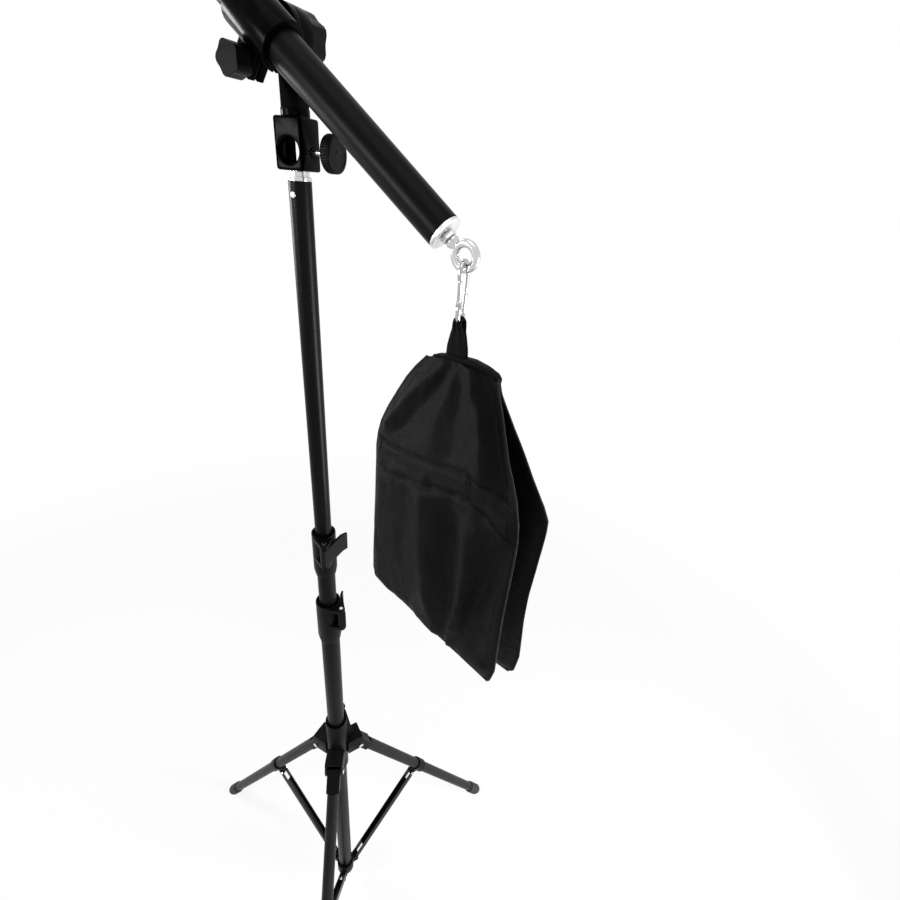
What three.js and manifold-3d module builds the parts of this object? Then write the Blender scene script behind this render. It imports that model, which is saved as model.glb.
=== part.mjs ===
// Overhead boom arm on its light stand: a tripod with three telescoping tubes, a clamp block,
// a tilting boom with a telescoping front tube, and a saddle sandbag hung from an eye bolt.
// Millimetres, +Z up. The boom swings in the XZ plane, with its sandbag end towards +X.
import * as THREE from 'three';
import { mergeVertices } from 'three/addons/utils/BufferGeometryUtils.js';
import Module from 'manifold-3d';

const wasm = await Module();
wasm.setup();

// Clearances, overruns and counts
const seatGap = 0.3;             // between pieces that touch
const runGap = 0.3;              // between pieces that slide or turn
const cutOver = 2;               // overrun of every cut
const joinIn = 0.6;              // how far joined lumps of one piece reach into each other
const finePointCount = 28;       // round steps of tubes
const smallPointCount = 12;      // round steps of pins and small rods

// Tubes of the mast
const lowerTubeRadius = 12.5;
const midTubeRadius = 11;
const topTubeRadius = 9.5;
const tubeWall = 1.2;
const columnFoot = 56;           // underside of the lowest tube
const lowerTubeLength = 756;
const midTubeLength = 640;
const topTubeLength = 640;
const midTubeOut = 113;          // mid tube showing above the lowest tube's top
const topTubeOut = 373.7;        // top tube showing above the mid tube's top

// Flip locks
const lowerLockHeight = 69;
const upperLockHeight = 64;
const lockTopOver = 10;          // how far the collar stands above the top of its tube
const lockWall = 3;
const lockRimGap = 2.6;
const lockTaper = 10;
const lockLip = 2.4;
const lugReach = 7.2;            // pin centre beyond the collar
const knuckleHeight = 5;
const knuckleRadius = 5;
const knuckleTop = 2;            // upper knuckle below the collar's top
const leverHeight = 24;
const leverThick = 3.4;
const leverLength = 29;          // straight part of the lever, past the side of the collar
const leverCorner = 5;           // the lever's square corner, the other way from its pin
const leverFlare = 7;
const leverFlareTurn = 14;       // degrees
const leverClear = 0.8;
const lockPinRadius = 1.6;
const lockPinHead = 0.8;
const lowerLockTurn = -4;        // direction of each lock's pin, degrees
const upperLockTurn = -48;

// Legs, braces and their hubs
const legAngle = 31.95;          // from vertical, spread
const legTurn = -60;             // direction of the first leg
const legEndRise = 4.84;         // middle of a leg's lower end above the floor
const legPivotReach = 35;
const legLength = 560;
const legRadius = 9;
const legWall = 1.2;
const legTopHalf = 10;
const legTopLength = 31;
const legTopFront = 7;
const legPlugDepth = 24;
const braceShare = 0.42;         // of the leg: a brace's place down the leg, and its length
const braceOffset = 17;          // inward from the leg's axis
const braceHubReach = 21.5;
const braceCheek = 1.5;
const braceHalf = 5;
const braceWebInset = 26;
const braceSlot = 15;            // how far each brace's lower pin can drop in its hub slot
const braceSlotPlay = 0.7;
const tongueHalf = 4;
const bracePinRadius = 2;
const rivetHeadRadius = 3.8;
const rivetHead = 1.3;
const legClampWidth = 24;
const legClampWall = 2.2;
const footRadius = 11.6;
const footCover = 34;
const footEnd = 13;
const footEdge = 3;
const footLip = 0.8;
const footSole = 4;              // rubber under the end of the leg's tube
const hubWall = 3.2;
const hubRise = 81;              // the hub's ends above and below the legs' pivots
const hubDrop = 36;
const hubRimDepth = 7;
const hubRimGap = 2;
const bracketHalf = 13.4;
const bracketWall = 2.6;
const bracketRise = 23.2;        // places of the bracket's corners from the leg's pivot
const bracketShoulder = 3.3;
const bracketBend = 6;
const bracketBendRise = 4;
const bracketBendDrop = 3;
const bracketFoot = 6;
const finTurn = 60;              // one fin stands on the collar, over this bracket
const finRise = 11;              // above the collar's rim
const finHalf = 1.8;
const finWaistIn = 12;
const finWaistRise = 49;
const finFootIn = 6;
const legPinRadius = 2.6;
const hubKnobTurn = 120;
const hubKnobRise = 56;
const hubKnobRadius = 8;
const hubKnobLength = 12;
const hubKnobLobes = 8;
const hubKnobDip = 1;
const hubBossRadius = 7;
const hubBossReach = 23;
const hubScrewRadius = 2.6;
const hubScrewShow = 4;
const braceHubRise = 6;
const braceHubDrop = 20.5;
const plugFlange = 4;
const plugDepth = 20;

// Head block on the mast's stud
const ringHeight = 2.8;
const neckHeight = 3.6;
const neckRadius = 8;
const studRadius = 4;
const studReach = 4;
const blockSide = 25;
const blockHeight = 36;
const blockTurn = 8;
const blockBevel = 1.2;
const holeRadius = 9;
const holeHeight = 13.4;         // hole's centre above the block's underside
const reliefDepth = 9;
const reliefWidth = 10;
const mastRivetRadius = 2.6;
const mastRivetRise = 0.7;
const mastRivetDrop = 10;
const mastRivetTurn = -87;
const headScrewRadius = 2.2;
const headScrewShow = 13.5;
const headKnobRadius = 13.6;
const headKnobLength = 11;
const headKnobHub = 5;
const headKnobBack = 1.5;
const headKnobBevel = 1.2;
const headKnobSeat = 2;
const headScrewIn = 5;

// Swivel and tilt joint
const tiltHeight = 85.4;         // tilt axis above the block's underside
const boomSide = 25;             // boom's axis beside the mast's axis
const boomTilt = 37.2;           // rear end down, degrees
const swivelRadius = 11;
const swivelHeight = 5;
const cheekHalf = 5.8;
const cheekRadius = 17;
const cheekNeckHalf = 9;
const tiltBoltRadius = 4;
const tiltBoltHead = 7;
const tiltBoltSeat = 4.6;
const tiltKnobRadius = 17;
const tiltKnobLength = 15;
const tiltKnobLobes = 6;
const tiltKnobDip = 2.4;
const clampLength = 42;
const clampWall = 4;
const clampSlit = 2.4;
const clampEarDrop = 19;
const clampEarHalf = 7;
const clampEarWidth = 18;
const clampScrewRadius = 2.4;
const clampKnobRadius = 11;
const clampKnobLength = 13;
const clampKnobLobes = 5;
const clampKnobDip = 1.8;
const clampScrewEnd = 3;

// Boom
const boomRadius = 13;
const boomWall = 1.5;
const boomRear = 186.6;          // behind the tilt axis
const boomFront = 434;           // ahead of the tilt axis
const frontTubeRadius = 11;
const frontTubeLength = 520;
const frontTubeOut = 300;
const capFlange = 3;
const capPlug = 18;
const eyeRadius = 8.4;
const eyeWire = 3;
const eyeOut = 19.6;             // ring's centre beyond the cap's face
const eyeShoulderRadius = 5;
const eyeShoulder = 4;
const eyeShoulderBevel = 1;
const eyeShankRadius = 3;
const eyeShankIn = 14;
const eyeNutRadius = 5.6;
const spigotRadius = 7.9;
const spigotLength = 46;
const spigotNeckRadius = 6.3;
const spigotNeckStart = 17;
const spigotNeckLength = 12;
const spigotNeckSlope = 1.6;
const spigotBevel = 1;
const spigotFlange = 4;
const spigotPlug = 18;

// Carabiner
const wireRadius = 1.9;
const carabinerDrop = 40.6;      // between the centres of the end bends
const carabinerTopBend = 7.6;
const carabinerLowBend = 5.6;
const carabinerTurn = 98;        // direction of its plane, degrees
const noseOpen = 27;             // where the gate meets the nose, degrees past the side
const gateRadius = 1.5;
const gateSeat = 1;
const hingeLift = 7;

// Sandbag, hung from a webbing loop
const bagTurn = -16;
const loopTopWidth = 10;
const loopWidth = 19;
const loopLength = 25;
const loopThick = 3;
const loopBevel = 2;
const loopThroat = 5;
const loopFlare = 0.3;
const loopEyeRadius = 3.2;
const loopEyeDrop = 0.3;          // the eye hangs on the wire
const bandHeight = 8;
const bandThick = 12;
const bandLeft = 19;
const bandRight = 47;
const bandDroop = 4.5;
const pouchHalf = 86;
const frontPouchHeight = 266;
const rearPouchHeight = 287;
const pouchCore = 3;
const pouchPuff = 2.2;
const pouchSpread = 5;           // middle plane of each pouch off the bag's middle, at its top
const pouchFan = 3;              // degrees that the pouches open towards one side
const pouchLean = 2;             // degrees that each pouch leans outwards
const rearShift = 6;
// outline of a pouch: shares of its half width, and of its height measured downwards
const pouchOutlineShares = [
  [-0.22, 0.002], [-0.05, -0.011], [0.13, -0.011], [0.50, 0.002], [0.62, 0.05], [0.69, 0.11],
  [0.74, 0.165], [0.81, 0.235],
  [0.905, 0.30], [0.965, 0.39], [0.985, 0.47], [0.985, 0.58], [1.0, 0.77], [1.01, 0.935],
  [0.98, 0.985], [0.56, 1.0], [0.12, 1.0], [-0.40, 0.975], [-0.93, 0.955], [-1.0, 0.91],
  [-0.985, 0.75], [-0.965, 0.61], [-0.975, 0.51], [-0.955, 0.40], [-0.895, 0.315],
  [-0.80, 0.25], [-0.70, 0.185], [-0.57, 0.12], [-0.36, 0.06],
];

// Heights that follow from the sizes above
const lowerTubeTop = columnFoot + lowerTubeLength;
const midTubeTop = lowerTubeTop + midTubeOut;
const topTubeTop = midTubeTop + topTubeOut;
const blockBottom = topTubeTop + ringHeight + neckHeight + 2 * seatGap;
const tiltAxisHeight = blockBottom + tiltHeight;
const rad = THREE.MathUtils.degToRad;
const legPivotHeight = legEndRise + legLength * Math.cos(rad(legAngle));
const bracePlace = braceShare * legLength;
const braceLength = braceShare * legLength;
const hubTop = legPivotHeight + hubRise;
const hubBottom = legPivotHeight - hubDrop;
const hubKnobHeight = legPivotHeight + hubKnobRise;

// Finishes
const finish = (color, roughness, metalness) => (
  new THREE.MeshStandardMaterial({ color, roughness, metalness })
);
const tubeBlack = finish(0x1c1c1e, 0.38, 0.6);
const mouldedBlack = finish(0x161617, 0.55, 0);
const castBlack = finish(0x1a1a1b, 0.45, 0.3);
const boomBlack = finish(0x151516, 0.5, 0.3);
const brightSteel = finish(0xc9cbcd, 0.25, 1);
const capAlloy = finish(0xd8d9da, 0.4, 1);
const rubberBlack = finish(0x121212, 0.85, 0);
const nylonBlack = finish(0x0e0e10, 0.7, 0);

// Geometry: closed solids and their cuts
function asSolid(geometry) {
  const bare = geometry.clone();
  bare.deleteAttribute('normal');
  bare.deleteAttribute('uv');
  const merged = mergeVertices(bare, 1e-4);
  const vertProperties = new Float32Array(merged.attributes.position.array);
  const triVerts = new Uint32Array(merged.index.array);
  return new wasm.Manifold(new wasm.Mesh({ numProp: 3, vertProperties, triVerts }));
}

function asGeometry(solid) {
  const mesh = solid.getMesh();
  const geometry = new THREE.BufferGeometry();
  geometry.setAttribute('position', new THREE.BufferAttribute(new Float32Array(mesh.vertProperties), 3));
  geometry.setIndex(new THREE.BufferAttribute(new Uint32Array(mesh.triVerts), 1));
  geometry.computeVertexNormals();
  return geometry;
}

function join(...geometries) {
  return asGeometry(geometries.map(asSolid).reduce((sum, next) => sum.add(next)));
}

function cut(geometry, ...tools) {
  return asGeometry(tools.map(asSolid).reduce((rest, tool) => rest.subtract(tool), asSolid(geometry)));
}

// a turned solid about Z from a profile of [radius, height] that runs up its outside
function turned(profile, pointCount = finePointCount) {
  const points = profile.map(([radius, height]) => new THREE.Vector2(radius, height));
  return new THREE.LatheGeometry(points, pointCount).rotateX(Math.PI / 2);
}

function rod(radius, from, to, pointCount = smallPointCount) {
  return turned([[0, from], [radius, from], [radius, to], [0, to]], pointCount);
}

function pipe(outer, inner, from, to, pointCount = finePointCount) {
  return turned([[inner, from], [outer, from], [outer, to], [inner, to], [inner, from]], pointCount);
}

function slab(x0, x1, y0, y1, z0, z1) {
  const geometry = new THREE.BoxGeometry(x1 - x0, y1 - y0, z1 - z0);
  return geometry.translate((x0 + x1) / 2, (y0 + y1) / 2, (z0 + z1) / 2);
}

function polygon(points) {
  return new THREE.Shape(points.map(([x, y]) => new THREE.Vector2(x, y)));
}

function sheet(shape, from, to, curveSegments = 8) {
  const options = { depth: to - from, bevelEnabled: false, curveSegments };
  return new THREE.ExtrudeGeometry(shape, options).translate(0, 0, from);
}

const alongX = (geometry) => geometry.rotateY(Math.PI / 2);
const alongY = (geometry) => geometry.rotateX(-Math.PI / 2);
// a sheet drawn as [x, z] and extruded along Y: its depth runs from -to to -from
const standing = (geometry) => geometry.rotateX(Math.PI / 2);

const model = new THREE.Group();

function place(name, geometry, material, parent = model) {
  const mesh = new THREE.Mesh(geometry, material);
  mesh.name = name;
  parent.add(mesh);
  return mesh;
}

function group(parent, { x = 0, y = 0, z = 0, turn = 0, pitch = 0, lean = 0 } = {}) {
  const holder = new THREE.Group();
  holder.position.set(x, y, z);
  holder.rotation.set(rad(lean), rad(pitch), rad(turn), 'ZYX');
  parent.add(holder);
  return holder;
}

// Knob with lobes round its rim, along +Z from `from` to `to`
function lobedKnob(radius, from, to, lobes, dip) {
  const points = [];
  const steps = lobes * 6;
  for (let i = 0; i < steps; i += 1) {
    const angle = (2 * Math.PI * i) / steps;
    const reach = radius - (dip * (1 - Math.cos(lobes * angle))) / 2;
    points.push([reach * Math.cos(angle), reach * Math.sin(angle)]);
  }
  return sheet(polygon(points), from, to);
}

// Flip lock: collar with two knuckles, its pin and its lever. Local X points at the pin.
function lockCollar(tubeRadius, innerTubeRadius, height) {
  const outer = tubeRadius + lockWall;
  const seat = tubeRadius + seatGap;
  const slide = innerTubeRadius + runGap;
  const rim = innerTubeRadius + lockRimGap;
  const seatTop = height - lockTopOver + seatGap;
  const body = turned([
    [seat, 0], [seat + (outer - seat) / 3, 0], [outer, lockTaper], [outer, height],
    [rim, height], [rim, seatTop + lockLip + joinIn], [slide, seatTop + lockLip],
    [slide, seatTop], [seat, seatTop], [seat, 0],
  ]);
  const pinAt = outer + lugReach;
  const upperTop = height - knuckleTop;
  const upperFoot = upperTop - knuckleHeight;
  const lowerTop = upperFoot - leverHeight - 2 * runGap;
  // a knuckle widens into the collar along the lines that touch both rounds
  const wrap = Math.acos((outer - knuckleRadius) / pinAt);
  const knuckle = (from, to) => {
    const shape = polygon([
      [outer * Math.cos(wrap), -outer * Math.sin(wrap)],
      [pinAt + knuckleRadius * Math.cos(wrap), -knuckleRadius * Math.sin(wrap)],
      [pinAt + knuckleRadius * Math.cos(wrap), knuckleRadius * Math.sin(wrap)],
      [outer * Math.cos(wrap), outer * Math.sin(wrap)],
    ]);
    const lug = join(sheet(shape, from, to), rod(knuckleRadius, from, to).translate(pinAt, 0, 0));
    const bore = rod(lockPinRadius + seatGap, from - cutOver, to + cutOver).translate(pinAt, 0, 0);
    const hollow = rod(seat + joinIn, from - cutOver, to + cutOver, finePointCount);
    return cut(lug, bore, hollow);
  };
  const collar = join(body, knuckle(upperFoot, upperTop), knuckle(lowerTop - knuckleHeight, lowerTop));
  return { collar, pinAt, outer, upperTop, upperFoot, lowerTop };
}

function lockPin({ upperTop, lowerTop }) {
  const foot = lowerTop - knuckleHeight;
  return turned([
    [0, foot], [lockPinRadius, foot], [lockPinRadius, upperTop + seatGap],
    [lockPinRadius + lockPinHead, upperTop + seatGap],
    [lockPinRadius + lockPinHead, upperTop + seatGap + lockPinHead], [0, upperTop + seatGap + lockPinHead],
  ], smallPointCount);
}

// lever outline about its pin: a barrel, and a straight arm whose inner face clears the collar
function lockLever({ pinAt, outer, upperFoot }) {
  const inner = outer + leverClear;
  const facing = Math.acos((inner + leverThick - knuckleRadius) / pinAt);
  // a point by its distance across the arm and along it, both from the pin
  const point = (across, along) => [
    across * Math.cos(facing) - along * Math.sin(facing),
    across * Math.sin(facing) + along * Math.cos(facing),
  ];
  const tip = (across) => point(
    across + leverFlare * Math.sin(rad(leverFlareTurn)),
    leverLength + leverFlare * Math.cos(rad(leverFlareTurn)),
  );
  const innerFace = knuckleRadius - leverThick;
  const arm = sheet(polygon([
    point(knuckleRadius, -leverCorner), point(knuckleRadius, leverLength), tip(knuckleRadius),
    tip(innerFace + leverThick / 3), point(innerFace, leverLength), point(innerFace, -leverCorner),
  ]), 0, leverHeight);
  const barrel = rod(knuckleRadius, 0, leverHeight);
  const bore = rod(lockPinRadius + runGap, -cutOver, leverHeight + cutOver);
  const clearance = rod(inner, -cutOver, leverHeight + cutOver, finePointCount).translate(-pinAt, 0, 0);
  const foot = upperFoot - runGap - leverHeight;
  return cut(join(arm, barrel), bore, clearance).translate(0, 0, foot);
}

function flipLock(prefix, parent, tubeRadius, innerTubeRadius, height) {
  const lock = lockCollar(tubeRadius, innerTubeRadius, height);
  place(`${prefix}_collar`, lock.collar, mouldedBlack, parent);
  const pin = group(parent, { x: lock.pinAt });
  place(`${prefix}_pin`, lockPin(lock), brightSteel, pin);
  place(`${prefix}_lever`, lockLever(lock), mouldedBlack, pin);
}

// Mast
function mast() {
  place('lower_tube', pipe(lowerTubeRadius, lowerTubeRadius - tubeWall, columnFoot, lowerTubeTop),
    tubeBlack);
  place('mid_tube', pipe(midTubeRadius, midTubeRadius - tubeWall, midTubeTop - midTubeLength,
    midTubeTop), tubeBlack);
  place('top_tube', pipe(topTubeRadius, topTubeRadius - tubeWall, topTubeTop - topTubeLength,
    topTubeTop), tubeBlack);
  const lower = group(model, { z: lowerTubeTop + lockTopOver - lowerLockHeight, turn: lowerLockTurn });
  flipLock('lower_lock', lower, lowerTubeRadius, midTubeRadius, lowerLockHeight);
  const upper = group(model, { z: midTubeTop + lockTopOver - upperLockHeight, turn: upperLockTurn });
  flipLock('upper_lock', upper, midTubeRadius, topTubeRadius, upperLockHeight);

  const plugRadius = lowerTubeRadius - tubeWall - seatGap;
  place('column_plug', turned([
    [0, columnFoot - seatGap - plugFlange], [lowerTubeRadius, columnFoot - seatGap - plugFlange],
    [lowerTubeRadius, columnFoot - seatGap], [plugRadius, columnFoot - seatGap],
    [plugRadius, columnFoot + plugDepth], [0, columnFoot + plugDepth],
  ]), mouldedBlack);
}

// Tripod: the sliding hub with three brackets, each two plates under a roof, and one fin
function bracketOutlines() {
  const inside = lowerTubeRadius + runGap + joinIn;
  const top = legPivotHeight + bracketRise;
  const bend = legPivotReach + bracketBend;
  const block = [
    [inside, top], [legPivotReach + bracketShoulder, top], [bend, legPivotHeight + bracketBendRise],
    [bend, legPivotHeight - bracketBendDrop], [legPivotReach, legPivotHeight - bracketFoot],
    [inside, legPivotHeight - bracketFoot],
  ];
  const roof = top - bracketWall;
  const collarSide = inside + hubWall - joinIn;
  const pocket = [
    [collarSide, roof], [bend + cutOver, roof], [bend + cutOver, hubBottom], [collarSide, hubBottom],
  ];
  const fin = [
    [inside, hubTop + finRise], [lowerTubeRadius + hubWall + joinIn, hubTop + finRise],
    [legPivotReach - finWaistIn, legPivotHeight + finWaistRise], [legPivotReach - finFootIn, top - joinIn],
    [inside, top - joinIn],
  ];
  return { block, pocket, fin };
}

function legHub() {
  const inner = lowerTubeRadius + runGap;
  const outer = inner + hubWall;
  const collar = turned([
    [inner, hubBottom], [outer, hubBottom], [outer, hubTop], [inner + hubRimGap, hubTop],
    [inner + hubRimGap, hubTop - hubRimDepth], [inner, hubTop - hubRimDepth], [inner, hubBottom],
  ]);
  const { block, pocket, fin } = bracketOutlines();
  const pocketHalf = bracketHalf - bracketWall;
  const rib = standing(sheet(polygon(fin), -finHalf, finHalf)).rotateZ(rad(finTurn));
  let brackets = rib;
  for (let i = 0; i < 3; i += 1) {
    const wide = standing(sheet(polygon(block), -bracketHalf, bracketHalf));
    const hollow = standing(sheet(polygon(pocket), -pocketHalf, pocketHalf));
    const pinBore = alongY(rod(legPinRadius + seatGap, -bracketHalf - cutOver, bracketHalf + cutOver));
    pinBore.translate(legPivotReach, 0, legPivotHeight);
    brackets = join(brackets, cut(wide, hollow, pinBore).rotateZ(rad(legTurn + 120 * i)));
  }
  const boss = alongX(rod(hubBossRadius, outer - joinIn, hubBossReach, smallPointCount));
  boss.rotateZ(rad(hubKnobTurn)).translate(0, 0, hubKnobHeight);
  const thread = alongX(rod(hubScrewRadius + seatGap, 0, hubBossReach + cutOver));
  thread.rotateZ(rad(hubKnobTurn)).translate(0, 0, hubKnobHeight);
  const column = rod(inner, hubBottom - cutOver, hubTop + finRise + cutOver, finePointCount);
  const mouth = rod(inner + hubRimGap, hubTop - hubRimDepth, hubTop + finRise + cutOver, finePointCount);
  place('leg_hub', cut(join(collar, brackets, boss), column, mouth, thread), mouldedBlack);

  for (let i = 0; i < 3; i += 1) {
    const frame = group(model, { turn: legTurn + 120 * i });
    const reach = bracketHalf + seatGap;
    const shaft = rod(legPinRadius, -reach, reach);
    const heads = [rod(rivetHeadRadius, reach - joinIn / 2, reach + rivetHead)];
    heads.push(rod(rivetHeadRadius, -reach - rivetHead, -reach + joinIn / 2));
    const trimmed = cut(join(shaft, ...heads), pipe(rivetHeadRadius + cutOver, legPinRadius, -reach, reach));
    place(`leg_pin_${i + 1}`, alongY(trimmed).translate(legPivotReach, 0, legPivotHeight), brightSteel,
      frame);
  }

  const start = lowerTubeRadius + seatGap;
  const screwEnd = hubBossReach + hubScrewShow;
  const knob = lobedKnob(hubKnobRadius, screwEnd, screwEnd + hubKnobLength, hubKnobLobes, hubKnobDip);
  const knobFrame = group(model, { z: hubKnobHeight, turn: hubKnobTurn });
  place('hub_knob', alongX(join(rod(hubScrewRadius, start, screwEnd + joinIn), knob)), mouldedBlack,
    knobFrame);
}

// A leg hangs from its pivot along its own -Z, turned out by the spread angle
function leg(index) {
  const frame = group(model, { turn: legTurn + 120 * index });
  const hinge = group(frame, { x: legPivotReach, z: legPivotHeight, pitch: -legAngle });
  const number = index + 1;
  place(`leg_tube_${number}`, pipe(legRadius, legRadius - legWall, -legLength + footSole, -legTopLength),
    tubeBlack, hinge);

  const topEnd = standing(sheet(polygon([
    [-legTopFront, 0], [-legTopFront, -legTopLength + seatGap], [legTopFront, -legTopLength + seatGap],
    [legTopFront, 0],
  ]), -legTopHalf, legTopHalf));
  const round = alongY(rod(legTopFront, -legTopHalf, legTopHalf, finePointCount));
  const plug = rod(legRadius - legWall - seatGap, -legTopLength - legPlugDepth, -legTopLength + joinIn,
    finePointCount);
  const bore = alongY(rod(legPinRadius + runGap, -legTopHalf - cutOver, legTopHalf + cutOver));
  place(`leg_top_${number}`, cut(join(topEnd, round, plug), bore), mouldedBlack, hinge);

  const band = pipe(legRadius + seatGap + legClampWall, legRadius + seatGap, -bracePlace - legClampWidth / 2,
    -bracePlace + legClampWidth / 2);
  const tongueStart = -(legRadius + seatGap + joinIn);
  const tongue = standing(sheet(polygon([
    [-braceOffset, -bracePlace - braceHalf], [tongueStart, -bracePlace - legClampWidth / 2 + joinIn],
    [tongueStart, -bracePlace + legClampWidth / 2 - joinIn], [-braceOffset, -bracePlace + braceHalf],
  ]), -tongueHalf, tongueHalf));
  const tongueEnd = alongY(rod(braceHalf, -tongueHalf, tongueHalf)).translate(-braceOffset, 0, -bracePlace);
  const tongueBore = alongY(rod(bracePinRadius + runGap, -tongueHalf - cutOver, tongueHalf + cutOver));
  tongueBore.translate(-braceOffset, 0, -bracePlace);
  const legSpace = rod(legRadius + seatGap, -bracePlace - legClampWidth, -bracePlace + legClampWidth,
    finePointCount);
  place(`leg_clamp_${number}`, cut(join(band, tongue, tongueEnd), tongueBore, legSpace), mouldedBlack,
    hinge);

  const cap = turned([
    [0, -legLength - footEnd], [footRadius - footEdge, -legLength - footEnd],
    [footRadius, -legLength - footEnd + footEdge], [footRadius, -legLength + footCover - footEdge],
    [legRadius + seatGap + footLip, -legLength + footCover],
    [0, -legLength + footCover],
  ]);
  const socket = rod(legRadius + seatGap, -legLength + footSole - seatGap, -legLength + footCover + cutOver,
    finePointCount);
  const under = slab(-3 * footRadius, 3 * footRadius, -2 * footRadius, 2 * footRadius, -4 * footRadius, 0);
  under.translate(legPivotReach + legLength * Math.sin(rad(legAngle)), 0, 0);
  under.translate(-legPivotReach, 0, -legPivotHeight).rotateY(rad(legAngle));
  place(`foot_${number}`, cut(cap, socket, under), rubberBlack, hinge);

  brace(number, hinge, frame);
}

// A brace is a channel of two cheeks and a web, from the leg's clamp down to the lower hub
function brace(number, hinge, frame) {
  const { place: at, angle } = braceGeometry();
  const swing = group(frame, { x: at.x, z: at.z, pitch: angle });
  const inner = tongueHalf + runGap;
  const outer = inner + braceCheek;
  const side = (from, to) => standing(sheet(polygon([
    [-braceHalf, 0], [-braceHalf, -braceLength], [braceHalf, -braceLength], [braceHalf, 0],
  ]), from, to));
  const ends = [0, -braceLength].map((z) => alongY(rod(braceHalf, -outer, outer)).translate(0, 0, z));
  const solid = join(side(-outer, outer), ...ends);
  const channel = slab(-braceHalf - cutOver, braceHalf - braceCheek, -inner, inner,
    -braceLength - braceHalf - cutOver, braceHalf + cutOver);
  const endGap = (from, to) => slab(0, braceHalf + cutOver, -inner, inner, from, to);
  const eye = alongY(rod(bracePinRadius + seatGap, -outer - cutOver, outer + cutOver));
  const body = cut(solid, channel, eye, endGap(-braceWebInset, braceHalf + cutOver),
    endGap(-braceLength - braceHalf - cutOver, -braceLength + braceWebInset));
  const lowerPin = rod(bracePinRadius, -outer - rivetHead, outer + rivetHead);
  const lowerHeads = [rod(rivetHeadRadius, outer, outer + rivetHead),
    rod(rivetHeadRadius, -outer - rivetHead, -outer)];
  const rivet = alongY(join(lowerPin, ...lowerHeads)).translate(0, 0, -braceLength);
  place(`brace_${number}`, join(body, rivet), tubeBlack, swing);

  const reach = outer + seatGap;
  const shaft = rod(bracePinRadius, -reach, reach);
  const heads = [rod(rivetHeadRadius, reach, reach + rivetHead),
    rod(rivetHeadRadius, -reach - rivetHead, -reach)];
  place(`brace_pin_${number}`, alongY(join(shaft, ...heads)), brightSteel, swing);
}

// where the brace's upper pin is in the leg's plane, and how far the brace leans
function braceGeometry() {
  const sin = Math.sin(rad(legAngle));
  const cos = Math.cos(rad(legAngle));
  const x = legPivotReach + bracePlace * sin - braceOffset * cos;
  const z = legPivotHeight - bracePlace * cos - braceOffset * sin;
  const lean = Math.asin((x - braceHubReach) / braceLength);
  return { place: { x, z }, angle: THREE.MathUtils.radToDeg(lean),
    pinHeight: z - braceLength * Math.cos(lean) };
}

function braceHub() {
  const { pinHeight } = braceGeometry();
  const inner = lowerTubeRadius + seatGap;
  const outer = inner + hubWall;
  const foot = pinHeight - braceHubDrop;
  const top = pinHeight + braceHubRise;
  const slotHalf = bracePinRadius + runGap;
  const across = [-tongueHalf - cutOver, tongueHalf + cutOver];
  let hub = pipe(outer, inner, foot, top);
  for (let i = 0; i < 3; i += 1) {
    const tongue = slab(outer - joinIn, braceHubReach + braceHalf, -tongueHalf, tongueHalf,
      foot + joinIn, top - joinIn);
    const slot = slab(-slotHalf - braceSlotPlay, slotHalf, ...across, -braceSlot - slotHalf, 0);
    const ends = alongY(rod(slotHalf, ...across));
    const cutter = join(slot, ends).translate(braceHubReach, 0, pinHeight);
    hub = join(hub, cut(tongue, cutter).rotateZ(rad(legTurn + 120 * i)));
  }
  const column = rod(inner, foot - cutOver, top + cutOver, finePointCount);
  place('brace_hub', cut(hub, column), mouldedBlack);
}

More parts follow.
